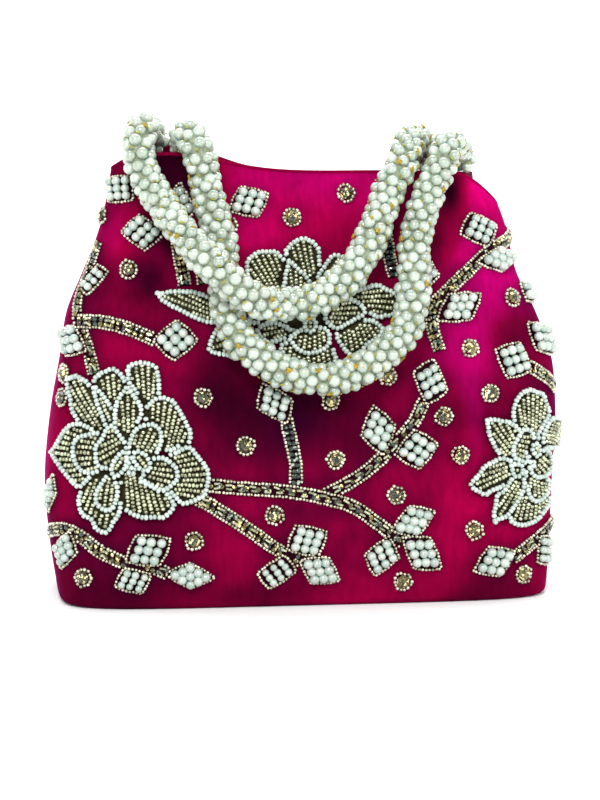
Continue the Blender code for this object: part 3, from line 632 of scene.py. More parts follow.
# %% The wall with its folds, as a grid
CELL = 0.001
ROUND = np.linspace(-0.290, 0.290, 581)
RISE = np.linspace(0, 0.190, 191)


def folds(u, z):
    """How far the velvet swells out or sinks in, in metres."""
    height = np.clip(z / BODY_HEIGHT, 0, 1.1)
    fade = np.clip(height / 0.35, 0, 1) ** 1.5
    wave = np.sin(u * 62 + 1.3 * np.sin(z * 31) + 0.4) * 0.45 + np.sin(u * 117 - z * 24 + 2.0) * 0.25
    sweep = np.sin(z * 74 + u * 18 + 1.0) * 0.35 + np.sin(u * 33 + z * 55) * 0.35
    upper = np.clip((height - 0.55) / 0.45, 0, 1)
    return fade * (0.0007 * sweep + 0.0009 * wave * upper) - 0.0004 * fade


def half_ring(sign, z):
    """Half a section at a height: its turns, its points and how far round each of them lies."""
    turns = np.linspace(0, sign * math.pi, 361)
    ring = section(turns, np.full(361, max(z, BASE_EDGE)))
    return turns, ring, run_along(ring)


def wall_grid():
    """The smooth wall's points at every millimetre round the bag and up it."""
    points = np.zeros((len(RISE), len(ROUND), 3))
    for row, z in enumerate(RISE):
        for sign in (1, -1):
            _, ring, run = half_ring(sign, z)
            chosen = ROUND >= 0 if sign > 0 else ROUND < 0
            points[row, chosen, :2] = at_distance(np.abs(ROUND[chosen]), run, ring[:, :2])
        points[row, :, 2] = z
    return points


def grid_directions(points):
    """Unit directions round the bag, up it and out of it at every point of a grid."""
    along = unit(np.gradient(points, axis=1), TINY)
    up = unit(np.gradient(points, axis=0), TINY)
    return along, up, unit(np.cross(along, up), TINY)


smooth_wall = wall_grid()
smooth_out = grid_directions(smooth_wall)[2]
WALL = smooth_wall + smooth_out * folds(*np.meshgrid(ROUND, RISE))[..., None]
ALONG, UP, OUT = grid_directions(WALL)
print("the wall grid has", WALL.shape[0], "by", WALL.shape[1], "points")


# %% From the flat pattern to the bag
def look_up(table, u, v):
    """The table's values at places on the pattern, between their four neighbours."""
    column = np.clip((u - ROUND[0]) / (ROUND[1] - ROUND[0]), 0, len(ROUND) - 1.001)
    row = np.clip((v - RISE[0]) / (RISE[1] - RISE[0]), 0, len(RISE) - 1.001)
    i, j = row.astype(int), column.astype(int)
    a, b = (row - i)[..., None], (column - j)[..., None]
    low = table[i, j] * (1 - b) + table[i, j + 1] * b
    return low * (1 - a) + (table[i + 1, j] * (1 - b) + table[i + 1, j + 1] * b) * a


def sewn(places, headings, lift):
    """Centres, thread directions and outward directions of beads sewn at places on the pattern."""
    u, v = places[:, 0], places[:, 1]
    out = unit(look_up(OUT, u, v))
    centre = look_up(WALL, u, v) + out * np.reshape(lift, (-1, 1))
    along = look_up(ALONG, u, v) * headings[:, :1] + look_up(UP, u, v) * headings[:, 1:]
    return centre, along, out


# %% [markdown]
# ## The velvet
#
# The body starts as a ring of points at the base and is extruded upwards ring by ring. Each new
# ring is moved on to the wall. Then the base is closed, and Solidify gives the cloth its
# thickness, inwards, so that the outer face stays on the wall. Each point keeps its place on the
# pattern, because the painted shade round the stitches is added once the embroidery is there.
#
# Velvet is dark where you look along its pile and glows where the pile leans away. The shader's
# sheen gives a little of that, and painted light in the colour does the rest. The colour drifts
# between crimson and a deep maroon, and broad patches are darker or brighter: partly where a hand
# has brushed the pile down or up, and partly painted shadows beside the ropes and a painted
# magenta sheen near the rim. Fine upright strokes and a finer bump stand for the pile itself.


# %% Velvet finish
def velvet_finish():
    """Crimson pile with drifting shades and upright strokes, patches of brushed pile with painted shadows and
    sheen, and painted shade round the stitches.
    """
    made, tree, shader = new_finish("crimson_velvet", {
        "Roughness": 0.9, "Specular IOR Level": 0.01, "Sheen Weight": 0.16, "Sheen Roughness": 0.30,
        "Sheen Tint": (0.65, 0.0, 0.40, 1),
    })
    where = place_of(tree)
    pile = colours(tree, noise(tree, where, 15, 3, 0.6), (
        (0.36, (0.085, 0.0003, 0.016)), (0.5, (0.18, 0.0002, 0.026)), (0.66, (0.28, 0.0002, 0.038))))
    upright = tree.nodes.new("ShaderNodeMapping")
    upright.inputs["Scale"].default_value = (1.0, 1.0, 0.28)
    tree.links.new(where, upright.inputs["Vector"])
    strokes = colours(tree, noise(tree, upright.outputs["Vector"], 420, 4), (
        (0.30, (0.84, 0.84, 0.84)), (0.70, (1.10, 1.10, 1.10))))
    stroked = between(tree, 1.0, pile, strokes, "MULTIPLY")
    # The patches: painted shade below zero and painted magenta sheen above it, each mixed with pile brushed
    # down or up.
    lean = tree.nodes.new("ShaderNodeMapRange")
    lean.inputs["From Min"].default_value = -1.0
    tree.links.new(attribute(tree, "nap_and_light"), lean.inputs["Value"])
    shades = colours(tree, lean.outputs["Result"], (
        (0, (0.10, 0.10, 0.24)), (0.5, (1.0, 1.0, 1.0)), (1, (2.4, 1.0, 4.6))))
    nap_and_light = between(tree, 1.0, stroked, shades, "MULTIPLY")
    # Painted shade: near black round the stitches, for the beads' shadows and the pressed pile.
    crush_and_shade = between(tree, attribute(tree, "crush_and_shade"), nap_and_light, (0.016, 0.0003, 0.012, 1))
    tree.links.new(crush_and_shade, shader.inputs["Base Color"])
    soft = bump(tree, noise(tree, where, 120, 4), 0.35, 0.0010)
    tree.links.new(bump(tree, noise(tree, where, 2600, 2), 0.5, 0.0002, soft), shader.inputs["Normal"])
    return made


crimson_velvet = velvet_finish()


# %% A ring of points on the wall
def arc_places(turns, z):
    """Pattern distances round the bag for turns at a height."""
    found = np.zeros(len(turns))
    for sign in (1, -1):
        dense, _, run = half_ring(sign, z)
        chosen = turns >= 0 if sign > 0 else turns < 0
        found[chosen] = sign * np.interp(np.abs(turns[chosen]), np.abs(dense), run)
    return found


def ring_on_wall(turns, share, inset, drop=0.0):
    """A ring of points at a share of the rim's height, pushed in or out by the folds."""
    z = share * (rim_height(turns) - drop)
    points = section(turns, z, inset)
    u = arc_places(turns, float(np.mean(z)))
    out = look_up(smooth_out, u, z)
    return points + out * folds(u, z)[:, None], u


# %% Loft a cup of cloth
def loft(columns, shares, inset, floor_z, drop=0.0):
    """A cup of rings, extruded upwards from its base. Each point keeps its pattern place."""
    turns = np.array([2 * math.pi * (step + 0.5) / columns for step in range(columns)])
    turns = np.where(turns > math.pi, turns - 2 * math.pi, turns)
    bm = bmesh.new()
    around = bm.verts.layers.float.new("around")
    made = bmesh.ops.create_circle(bm, segments=columns, radius=1)["verts"]
    made.sort(key=lambda vert: math.atan2(vert.co.x, -vert.co.y) % (2 * math.pi))
    order = {vert: index for index, vert in enumerate(made)}
    edges = bm.edges[:]
    bottom = list(edges)
    for level, share in enumerate(shares):
        if level:
            grown = bmesh.ops.extrude_edge_only(bm, edges=edges)["geom"]
            fresh = [item for item in grown if isinstance(item, bmesh.types.BMVert)]
            edges = [item for item in grown if isinstance(item, bmesh.types.BMEdge)
                     and all(vert in fresh for vert in item.verts)]
            order = {vert: next(order[edge.other_vert(vert)] for edge in vert.link_edges
                                if edge.other_vert(vert) in order) for vert in fresh}
        ring, places = ring_on_wall(turns, share, inset, drop)
        for vert, index in order.items():
            vert.co = ring[index]
            vert.co.z = max(vert.co.z, floor_z)
            vert[around] = places[index]
    return bm, bottom


def close_floor(bm, bottom):
    """Fills the base with two inset rings, so that its rounded edge shades smoothly."""
    floor_face = bmesh.ops.edgeloop_fill(bm, edges=bottom)["faces"]
    for _ in range(2):
        bmesh.ops.inset_region(bm, faces=floor_face, thickness=0.006, use_even_offset=True)
    bmesh.ops.recalc_face_normals(bm, faces=bm.faces[:])


def thicken(obj, thickness, even=False):
    """Gives cloth its thickness, inwards."""
    cloth = obj.modifiers.new("cloth", "SOLIDIFY")
    cloth.thickness = thickness
    cloth.offset = -1
    cloth.use_even_offset = even


# %% Velvet body
edge_rows = [0.0, 0.004, 0.010, BASE_EDGE / BODY_HEIGHT]
shares = np.unique(np.concatenate([edge_rows, np.linspace(0.030, 1.0, 84)]))
velvet_shape, base_ring = loft(220, shares, 0.0, 0.0)
close_floor(velvet_shape, base_ring)
velvet_mesh = as_mesh(velvet_shape, "velvet")
velvet = piece("velvet", velvet_mesh, crimson_velvet, ["velvet_body"])
thicken(velvet, 0.0013, even=True)
print("the velvet has", len(velvet_mesh.polygons), "faces")

# %% [markdown]
# ## The mouth: a hem, a lining and tapes
#
# The velvet is turned over at the mouth, which leaves a soft round hem. A dark red satin lining
# starts a little below it. It hangs straight down inside and has a floor of its own over the base
# board. The handles' ends are sewn to tapes inside the mouth. The board and the tapes are plain
# pieces whose solids already have the right shape, so they only get their finishes.

# %% Hem
turns = np.linspace(-math.pi, math.pi, 181)[:-1]
hem_line, _ = ring_on_wall(turns, 1.0, 0.00075)
round_cord("hem", hem_line, 0.00095, 2, True, crimson_velvet)


# %% Lining
def satin_finish():
    """Dark red satin: a fine weave with a soft gloss, and a slight drift in its colour."""
    made, tree, shader = new_finish("satin_lining", {"Roughness": 0.38, "Anisotropic": 0.5})
    where = place_of(tree)
    weave = tree.nodes.new("ShaderNodeTexWave")
    weave.bands_direction = "Z"
    fill_in(weave, {"Scale": 900, "Distortion": 1.5})
    tree.links.new(where, weave.inputs["Vector"])
    tint = colours(tree, noise(tree, where, 30), ((0, (0.16, 0.004, 0.035)), (1, (0.34, 0.010, 0.075))))
    tree.links.new(tint, shader.inputs["Base Color"])
    tree.links.new(bump(tree, weave.outputs["Fac"], 0.15, 0.0001), shader.inputs["Normal"])
    return made


LINING_INSET, LINING_FLOOR, LINING_DROP = 0.0023, 0.0040, 0.006
lining_shape, lining_ring = loft(96, np.linspace(0.028, 1.0, 36), LINING_INSET, LINING_FLOOR, LINING_DROP)
close_floor(lining_shape, lining_ring)
lining_cloth = piece("lining_cloth", as_mesh(lining_shape, "lining_cloth"), satin_finish(),
                     ["lining"])
thicken(lining_cloth, 0.0006)

# %% Board and tapes keep their solids and get their finishes
grey_board = thread_finish("grey_board", (0.42, 0.34, 0.24), 220)
cotton_tape = thread_finish("cotton_tape", (0.20, 0.004, 0.04), 1400)
finishes = {"base_board": grey_board}
for corner in ("front_right", "front_left", "back_right", "back_left"):
    finishes["handle_tab_" + corner] = cotton_tape
for node, finish in finishes.items():
    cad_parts[node].data.materials.clear()
    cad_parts[node].data.materials.append(finish)

# %% [markdown]
# ## Flowers
#
# Each flower is a heap of petals. A petal is a pad of ground cloth with a row of white seeds
# round its edge and rows of round gold seeds that run from the heart of the flower to the tip and
# spread a little on the way. The ground is a near-black olive: this is painted shade, for the
# shadows in the gaps between the beads. Where petals overlap, the lower one's beads stop at the
# upper one's edge. In the middle sits a small padded bud in a white ring, on a heart of the same
# ground cloth that has white seeds where its edge shows. In two of the flowers a few loose white
# seeds fill the joints beside the bud.
#
# Each petal in the table is the direction of its rows in degrees and the corners of its outline on
# the pattern, in hundredths of the bag's height. They are listed one by one. A smooth closed curve
# through the corners draws the ground, the white edge and the limit of the gold rows, so these
# always fit one another.

# %% Petals of the three flowers, from the back layer to the front
FLOWERS = {
    "flower_left": {
        "petals": (
            (93, ((-43, 52), (-41.5, 50), (-40, 47.5), (-38.5, 45.5), (-36.5, 47), (-35, 49.5),
                (-35, 53), (-35.5, 55.5), (-37, 56.5), (-39.5, 57), (-41.5, 56.5), (-43, 55.5),
                (-43, 54))),
            (97, ((-49, 48), (-47, 44), (-45, 44), (-43.5, 47.5), (-42.5, 51), (-43, 53), (-44, 54.5),
                (-46, 55.5), (-47.5, 55), (-49.5, 54), (-51, 52))),
            (123, ((-58, 50.5), (-57, 48), (-56.5, 45.5), (-55, 43), (-53, 40.5), (-50, 39.5),
                (-47, 40), (-46, 42.5), (-48, 45.5), (-49.5, 49), (-51, 51.5), (-53, 53), (-55, 53.5),
                (-57, 53), (-58, 52.5))),
            (114, ((-50.5, 48), (-49.5, 45), (-48, 41.5), (-46, 39), (-44, 39.5), (-44, 41.5),
                (-45, 44.5), (-46.5, 47.5), (-48, 49.5), (-49.5, 51), (-51, 51))),
            (79, ((-39, 43), (-37.5, 40.5), (-35.5, 37), (-33.5, 36), (-31, 37), (-28.5, 38),
                (-28, 40.5), (-28.5, 42), (-29.5, 44), (-30.5, 46), (-32, 48), (-34, 49), (-36, 49),
                (-37.5, 48), (-39, 46.5), (-39.5, 45))),
            (3, ((-35, 32), (-34, 27.5), (-32.5, 25.5), (-31.5, 24.5), (-30, 24), (-27, 25), (-25, 26),
                (-24.5, 28), (-24, 31), (-25, 33.5), (-26.5, 35.5), (-28, 37.5), (-29.5, 38),
                (-31.5, 37), (-33.5, 36), (-35, 34.5))),
            (-77, ((-45, 32), (-45, 29), (-45, 25), (-44, 23), (-42.5, 22), (-40, 21), (-37, 21),
                (-34.5, 21), (-32.5, 23), (-32, 24.5), (-33.5, 27), (-35, 29), (-38, 31.5), (-40.5, 33),
                (-43.5, 33))),
            (-106, ((-47.5, 32.5), (-49.5, 32), (-52, 30.5), (-53.5, 28.5), (-54.5, 26), (-54.5, 24),
                (-53.5, 21.5), (-51.5, 20.5), (-50.5, 18.5), (-48.5, 17.5), (-47, 18), (-45.5, 20.5),
                (-44.5, 22), (-44, 25), (-45.5, 29.5))),
            (178, ((-60.5, 33.5), (-58, 31), (-56, 29), (-54, 27.5), (-52, 29), (-50.5, 30.5),
                (-48, 32.5), (-47.5, 36), (-48.5, 40), (-51, 42), (-53.5, 43), (-56, 42.5), (-58, 41),
                (-59.5, 39), (-61, 37), (-62.5, 35.5))),
            (180, ((-46, 39.5), (-49.5, 41), (-52, 40.5), (-54, 40), (-55.5, 38.5), (-56, 36),
                (-55.5, 34), (-54.5, 32), (-52.5, 31), (-50, 31), (-47.5, 32.5), (-45.5, 36))),
            (90, ((-43.5, 50.5), (-44.5, 49.5), (-45.5, 47.5), (-46, 45), (-46, 42.5), (-45, 40.5),
                (-44, 39), (-43, 37.5), (-42, 38.5), (-40.5, 40.5), (-40, 42.5), (-39, 44.5), (-39, 46),
                (-39.5, 47.5), (-40.5, 49), (-42, 51), (-43, 51.5))),
            (-101, ((-47.5, 31.5), (-48.5, 30.5), (-49.5, 29), (-50.5, 27), (-50.5, 24.5), (-49, 23),
                (-47.5, 22.5), (-46, 23), (-45, 25), (-44.5, 27.5), (-45, 29.5), (-45.5, 31.5))),
            (-152, ((-47, 42.5), (-48, 41.5), (-49, 39.5), (-50.5, 37.5), (-50.5, 35.5), (-50.5, 34),
                (-49.5, 32.5), (-47.5, 32), (-45.5, 33.5), (-44, 36), (-42.5, 37.5), (-43, 39),
                (-44.5, 41), (-45.5, 42.5))),
            (65, ((-42.5, 36.5), (-41, 35.5), (-39, 34.5), (-37, 34.5), (-36, 35.5), (-35, 37.5),
                (-34.5, 39.5), (-35, 41.5), (-36.5, 43), (-38, 43), (-40, 42.5), (-41.5, 41.5),
                (-42.5, 39.5), (-43, 37.5))),
            (-11, ((-39, 32.5), (-40.5, 30.5), (-39, 29), (-37, 28), (-35, 27), (-33, 28),
                (-31.5, 29.5), (-31, 31), (-31.5, 33), (-33, 34.5), (-34.5, 35.5), (-36.5, 35.5),
                (-38, 35))),
            (-119, ((-43, 37), (-44, 37), (-45.5, 35.5), (-46.5, 34), (-47, 32), (-46.5, 30.5),
                (-45.5, 30), (-44, 31), (-42.5, 33), (-42.5, 35.5))),
        ),
        "bud": ((-39.6, 34.2), 2.1, 3.1, 36),
        "loose": ((-43.0, 37.2), (-42.4, 36.1), (-42.9, 35.0), (-41.9, 34.9), (-42.5, 33.9),
            (-43.0, 32.8), (-41.9, 32.7), (-42.6, 31.6), (-41.5, 31.4), (-39.8, 29.6), (-38.8, 29.1),
            (-37.8, 28.6), (-36.8, 28.1), (-36.0, 27.4)),
        "heart": ((-45, 40.5), (-42, 39.5), (-38.5, 37.5), (-36.5, 34.5), (-36.5, 32), (-39.5, 29.5),
            (-42.5, 29), (-45.5, 29.5), (-47.5, 32), (-47.5, 36)),
    },
    "flower_right": {
        "petals": (
            (87, ((48, 39.5), (50, 38), (52.5, 37.5), (54.5, 38), (56, 40), (58, 42), (58.5, 44),
                (57.5, 46), (56.5, 48), (54, 49), (52, 49.5), (49.5, 48.5), (48, 47), (47, 44.5),
                (47, 42.5))),
            (-104, ((45.5, 21), (46, 18.5), (47.5, 17.5), (49.5, 17), (52, 17.5), (54.5, 18.5),
                (57, 20.5), (58.5, 22), (58, 24.5), (52.5, 26), (48.5, 26), (46.5, 23.5))),
            (-86, ((49.5, 29), (50, 27), (51, 24), (52.5, 22.5), (55, 22.5), (57.5, 24), (58.5, 26),
                (58, 28), (54, 29.5), (51.5, 30.5))),
            (52, ((60.5, 42.5), (58, 42), (56, 40), (55, 38), (55.5, 35.5), (58, 34.5), (63.5, 34.5),
                (65, 37), (65.5, 40), (65.5, 41.5))),
            (127, ((40.5, 41), (40.5, 39.5), (41.5, 37), (43, 34.5), (44.5, 33), (46, 33), (48, 34),
                (49, 36), (49.5, 38.5), (49, 40.5), (47, 42), (45.5, 42.5), (43, 43), (41.5, 43),
                (40, 42.5))),
            (-160, ((37, 26), (38, 25.5), (40, 24.5), (42, 25.5), (43.5, 26), (45.5, 27), (47, 28),
                (48, 30), (48, 32.5), (46, 33.5), (44, 34), (41.5, 33), (39.5, 32), (38, 30),
                (36.5, 28.5), (36, 27.5))),
            (-126, ((43, 18.5), (44, 19), (45.5, 19.5), (47, 21), (48.5, 23), (50, 25.5), (50.5, 28),
                (49.5, 29.5), (47, 29.5), (45.5, 28), (44, 26), (42.5, 25.5), (42, 23), (41.5, 21),
                (41.5, 19.5), (42, 18))),
            (-14, ((49, 40), (48, 38.5), (47, 37), (46.5, 35), (47, 33), (49, 32), (50.5, 31.5),
                (51.5, 32.5), (52, 35), (53, 37), (53, 38.5), (52, 40), (50, 40.5))),
            (-40, ((55, 35.5), (54, 34), (52, 32.5), (51, 30.5), (51.5, 29), (53, 28), (55.5, 28),
                (58, 29), (59, 31.5), (58, 34), (56, 35.5))),
            (-72, ((46.5, 29), (48, 28.5), (49.5, 29), (50, 30.5), (49.5, 32), (48, 32.5), (46, 32))),
        ),
        "bud": ((53, 35), 1.6, 2.1, 20),
        "loose": ((50.6, 33.4), (51.3, 32.2), (51.0, 30.9), (52.2, 31.3), (50.0, 30.0), (50.2, 34.6)),
        "heart": ((49, 39), (53, 39), (56, 37), (57, 34), (54, 30.5), (51, 28.5), (47.5, 29), (46, 31),
            (47, 35)),
    },
    "flower_centre": {
        "petals": (
            (159, ((-35, 70.5), (-33, 69), (-30, 67.5), (-27, 66), (-24, 65), (-21, 65), (-19.5, 66),
                (-19.5, 68), (-21, 70), (-23, 71.5), (-25.5, 72.5), (-28.5, 73), (-32, 73),
                (-34.5, 72.5), (-36, 72.5))),
            (-163, ((-21, 65), (-23, 63.5), (-24, 61), (-24.5, 59), (-23, 58), (-20, 57.5), (-18, 57),
                (-15.5, 57), (-13, 58), (-11.5, 60.5), (-12, 63.5), (-15.5, 65), (-18.5, 65.5))),
            (118, ((-15, 75.5), (-13.5, 73.5), (-11, 71), (-8, 70), (-6.5, 71.5), (-6, 74.5),
                (-5.5, 77.5), (-5, 79), (-6, 80.5), (-7.5, 82), (-9.5, 82), (-11.5, 82), (-13.5, 81),
                (-15, 79.5), (-15, 77.5))),
            (103, ((-5.5, 80), (-4.5, 79), (-3, 77), (-1.5, 74), (0, 72), (1.5, 74), (2.5, 76.5),
                (3, 78.5), (3, 80.5), (3, 82), (2, 83.5), (0.5, 84.5), (-1, 85), (-3, 84.5), (-5, 83),
                (-6, 81.5))),
            (52, ((1.5, 76), (1.5, 73), (3, 73), (5.5, 75.5), (7.5, 77.5), (8.5, 79.5), (8.5, 80.5),
                (7, 81), (5.5, 81), (4, 79.5), (3, 78))),
            (-2, ((9, 69.5), (10.5, 68), (13, 67), (14.5, 66), (16, 65.5), (17.5, 66), (19, 66),
                (20.5, 67.5), (21, 69.5), (21, 71), (19.5, 72.5), (18, 73), (16.5, 74), (14.5, 74),
                (13, 73.5), (11, 73), (9.5, 72))),
            (-73, ((6, 60), (7.5, 58), (9, 57), (11, 57.5), (13, 59.5), (15.5, 61), (17, 62.5),
                (17, 64), (16, 65), (14.5, 66), (13, 66), (11, 66), (9, 65), (7, 64), (5, 62.5))),
            (-90, ((-8, 60), (-7.5, 58), (-6.5, 56), (-4.5, 54.5), (-1, 53), (2.5, 54), (5, 55),
                (6, 57), (5.5, 58), (5, 60), (2.5, 61.5), (-1.5, 62), (-5.5, 61.5))),
            (90, ((-5.5, 78.5), (-6, 77), (-6.5, 74.5), (-7, 72.5), (-5.5, 70.5), (-3, 70), (-0.5, 71),
                (0.5, 74), (-0.5, 76), (-2, 77.5), (-3.5, 79), (-5, 80))),
            (0, ((2.5, 66.5), (3, 65), (4.5, 63.5), (6.5, 63), (8, 64), (10, 65), (12, 66), (13, 67),
                (13, 68), (12, 69.5), (10.5, 70.5), (9, 71), (7, 71), (5, 69.5), (3.5, 68.5))),
            (176, ((-13, 64.5), (-10.5, 64.5), (-7.5, 64), (-5.5, 65.5), (-6, 67), (-8.5, 67.5),
                (-10.5, 68), (-13, 68), (-14.5, 67), (-15.5, 65))),
            (-167, ((-12, 61), (-10.5, 60), (-8, 60.5), (-5, 61.5), (-4.5, 63.5), (-5.5, 64.5),
                (-8, 65.5), (-10.5, 65.5), (-12.5, 64.5), (-13.5, 63))),
            (-96, ((-5.5, 60.5), (-4.5, 59), (-3, 58), (-1, 57.5), (1.5, 58), (3.5, 59), (4.5, 60.5),
                (4.5, 62.5), (3.5, 64), (2, 64.5), (-0.5, 64.5), (-2.5, 64), (-4.5, 63), (-6, 61.5))),
        ),
        "bud": ((-0.5, 64.5), 1.9, 2.2, 0),
        "loose": (),
        "heart": ((-6.5, 71.5), (-0.5, 72), (4, 69.5), (5, 66.5), (4, 63), (-1, 62.5), (-6, 63),
            (-9, 65.5)),
    },
}
WHITE_WIDE, WHITE_LONG = 0.0021, 0.00160
GOLD_WIDE, GOLD_LONG, GOLD_ROW = 0.00172, 0.00145, 0.00192
FIRST_LAYER, LAYER, BUD_LAYER = 0.0005, 0.00013, 0.0004


# %% A closed outline and tests on the pattern
def closed_curve(corners, count):
    """Places evenly spread on a smooth closed curve through the corners."""
    now = np.array(corners, float) * UNIT
    before, after, beyond = np.roll(now, 1, 0), np.roll(now, -1, 0), np.roll(now, -2, 0)
    t = np.linspace(0, 1, 12, endpoint=False)[:, None, None]
    curve = 0.5 * (2 * now + (after - before) * t + (2 * before - 5 * now + 4 * after - beyond) * t**2
                   + (3 * now - before - 3 * after + beyond) * t**3)
    dense = curve.transpose(1, 0, 2).reshape(-1, 2)
    dense = np.concatenate([dense, dense[:1]])
    run = run_along(dense)
    return at_distance(np.linspace(0, run[-1], count, endpoint=False), run, dense)


def inside(outline, places):
    """Which places lie inside a closed outline."""
    ax, ay = outline[:, 0], outline[:, 1]
    bx, by = np.roll(ax, -1), np.roll(ay, -1)
    px, py = places[:, :1], places[:, 1:]
    crosses = (ay[None] > py) != (by[None] > py)
    meet = ax + (py - ay) * (bx - ax) / np.where(by == ay, TINY, by - ay)
    return (crosses & (px < meet)).sum(axis=1) % 2 == 1


def gap_to(outline, places):
    """How far places are from a closed outline's line."""
    start = outline[None]
    step = (np.roll(outline, -1, axis=0) - outline)[None]
    t = np.clip(((places[:, None] - start) * step).sum(2) / ((step**2).sum(2) + 1e-18), 0, 1)
    return np.linalg.norm(places[:, None] - start - step * t[..., None], axis=2).min(axis=1)


def free_of(covers, places, margin):
    """Which places lie outside all the covering outlines by a margin."""
    free = np.ones(len(places), bool)
    for cover in covers:
        free &= ~inside(cover, places) & (gap_to(cover, places) > margin)
    return free


def along_line(line, pitch, closed):
    """Places a pitch apart on a line, with their headings."""
    points = np.concatenate([line, line[:1]]) if closed else line
    run = run_along(points)
    count = max(int(round(run[-1] / pitch)), 1)
    stops = (np.arange(count) + 0.5) * run[-1] / count
    headings = at_distance(stops + 0.0004, run, points) - at_distance(stops - 0.0004, run, points)
    return at_distance(stops, run, points), unit(headings, TINY)


def drawn_in(outline, distance):
    """The outline moved inwards."""
    step = np.roll(outline, -1, axis=0) - np.roll(outline, 1, axis=0)
    inward = unit(np.stack([-step[:, 1], step[:, 0]], axis=1), TINY)
    area = (outline[:, 0] * np.roll(outline[:, 1], -1) - outline[:, 1] * np.roll(outline[:, 0], -1)).sum()
    return outline + inward * distance * (1 if area > 0 else -1)


# %% Gold rows of a petal
def gold_rows(outline, lean, spread=3.0):
    """Rows of beads through an outline that come from a far point and spread towards the tip."""
    ahead = np.array([math.cos(math.radians(lean)), math.sin(math.radians(lean))])
    middle = (outline.max(axis=0) + outline.min(axis=0)) / 2
    reach = np.linalg.norm(outline - middle, axis=1).max()
    far = reach * spread
    count = int(reach / GOLD_ROW) + 2
    turn = np.arange(-count, count + 1) * GOLD_ROW / far
    radius = np.arange(far - reach, far + reach, GOLD_LONG)
    turn, radius = np.meshgrid(turn, radius)
    radius = radius + GOLD_LONG * 0.5 * (np.round(turn * far / GOLD_ROW) % 2)
    heading = np.stack([ahead[0] * np.cos(turn) - ahead[1] * np.sin(turn),
                        ahead[0] * np.sin(turn) + ahead[1] * np.cos(turn)], axis=-1)
    places = (middle - ahead * far + heading * radius[..., None]).reshape(-1, 2)
    kept = inside(outline, places)
    places, heading = places[kept], heading.reshape(-1, 2)[kept]
    kept = gap_to(outline, places) > WHITE_WIDE + GOLD_WIDE * 0.10
    return places[kept], heading[kept]


# %% Ground pads of the petals, dark as painted shade
# Painted shade: the dark olive ground stands for the shadows between the white and gold beads.
gap_shade_cloth = thread_finish("gap_shade_cloth", (0.040, 0.034, 0.016), 1200, shine=0.02)


def pad(bm, outline, height, crown):
    """A thin pad with the outline, laid on the wall, its middle raised a little."""
    made = bmesh.ops.create_circle(bm, segments=len(outline), radius=1, cap_ends=True)["verts"]
    face = made[0].link_faces[0]
    bmesh.ops.inset_region(bm, faces=[face], thickness=0.25)
    bmesh.ops.inset_region(bm, faces=[face], thickness=0.30)
    bmesh.ops.poke(bm, faces=[face])
    member = set(made)
    fresh = set(made)
    while fresh:
        fresh = {edge.other_vert(vert) for vert in fresh for edge in vert.link_edges} - member
        member |= fresh
    member = list(member)
    flat = np.array([vert.co[:2] for vert in member])
    radius = np.linalg.norm(flat, axis=1)
    turn = np.mod(np.arctan2(flat[:, 1], flat[:, 0]), 2 * math.pi)
    angle = turn / (2 * math.pi) * len(outline)
    first = np.floor(angle).astype(int) % len(outline)
    share = (angle - np.floor(angle))[:, None]
    edge = outline[first] * (1 - share) + outline[(first + 1) % len(outline)] * share
    middle = outline.mean(axis=0)
    places = middle + (edge - middle) * np.minimum(radius, 1)[:, None]
    lift = height + crown * (1 - np.minimum(radius, 1) ** 2)
    centre, _, _ = sewn(places, np.ones((len(places), 2)), lift)
    for vert, point in zip(member, centre):
        vert.co = point


def pads_mesh(name, outlines, heights, crown):
    """All the pads of a flower as one mesh."""
    bm = bmesh.new()
    for outline, height in zip(outlines, heights):
        pad(bm, outline, height, crown)
    bmesh.ops.recalc_face_normals(bm, faces=bm.faces[:])
    return as_mesh(bm, name)


# %% Sew beads on
sewn_places = []


def turned_by(headings, angle):
    """Headings on the pattern turned by an angle each."""
    return np.stack([headings[:, 0] * np.cos(angle) - headings[:, 1] * np.sin(angle),
                     headings[:, 0] * np.sin(angle) + headings[:, 1] * np.cos(angle)], axis=1)


def at_lift(places, headings, lift):
    """A group of beads that all stand at one height over the velvet."""
    return places, headings, np.full(len(places), lift)


def add_beads(name, groups, stamp, size, finish, stray, nodes=()):
    """One piece of beads from groups of places, headings and heights."""
    places, headings, lift = (np.concatenate([group[part] for group in groups]) for part in range(3))
    sewn_places.append(places)
    places = places + chance.normal(0, stray, places.shape)
    headings = turned_by(headings, chance.normal(0, 0.09, len(headings)))
    centre, along, out = sewn(places, headings, lift)
    sizes = np.array(size) * (1 + chance.normal(0, 0.04, (len(places), 1)))
    piece(name, stamped_mesh(name, stamp, centre, along, out, sizes), finish, nodes)
    print(name, "has", len(places), "beads")


# %% Make a flower
FLOWER_STRAY = 0.00008


def oval(middle, wide, high, tilt):
    """Corners of a tilted oval on the pattern."""
    turn = 2 * math.pi * np.arange(32) / 32
    lean = math.radians(tilt)
    x, y = np.cos(turn) * wide, np.sin(turn) * high
    across = x * math.cos(lean) - y * math.sin(lean) + middle[0]
    up = x * math.sin(lean) + y * math.cos(lean) + middle[1]
    return np.stack([across, up], axis=1)


def white_edge(outline, inset, covers, margin, lift):
    """White seeds round an outline, except where something covers them."""
    edge, heading = along_line(drawn_in(outline, inset), WHITE_LONG, True)
    kept = free_of(covers, edge, margin)
    return at_lift(edge[kept], heading[kept], lift)


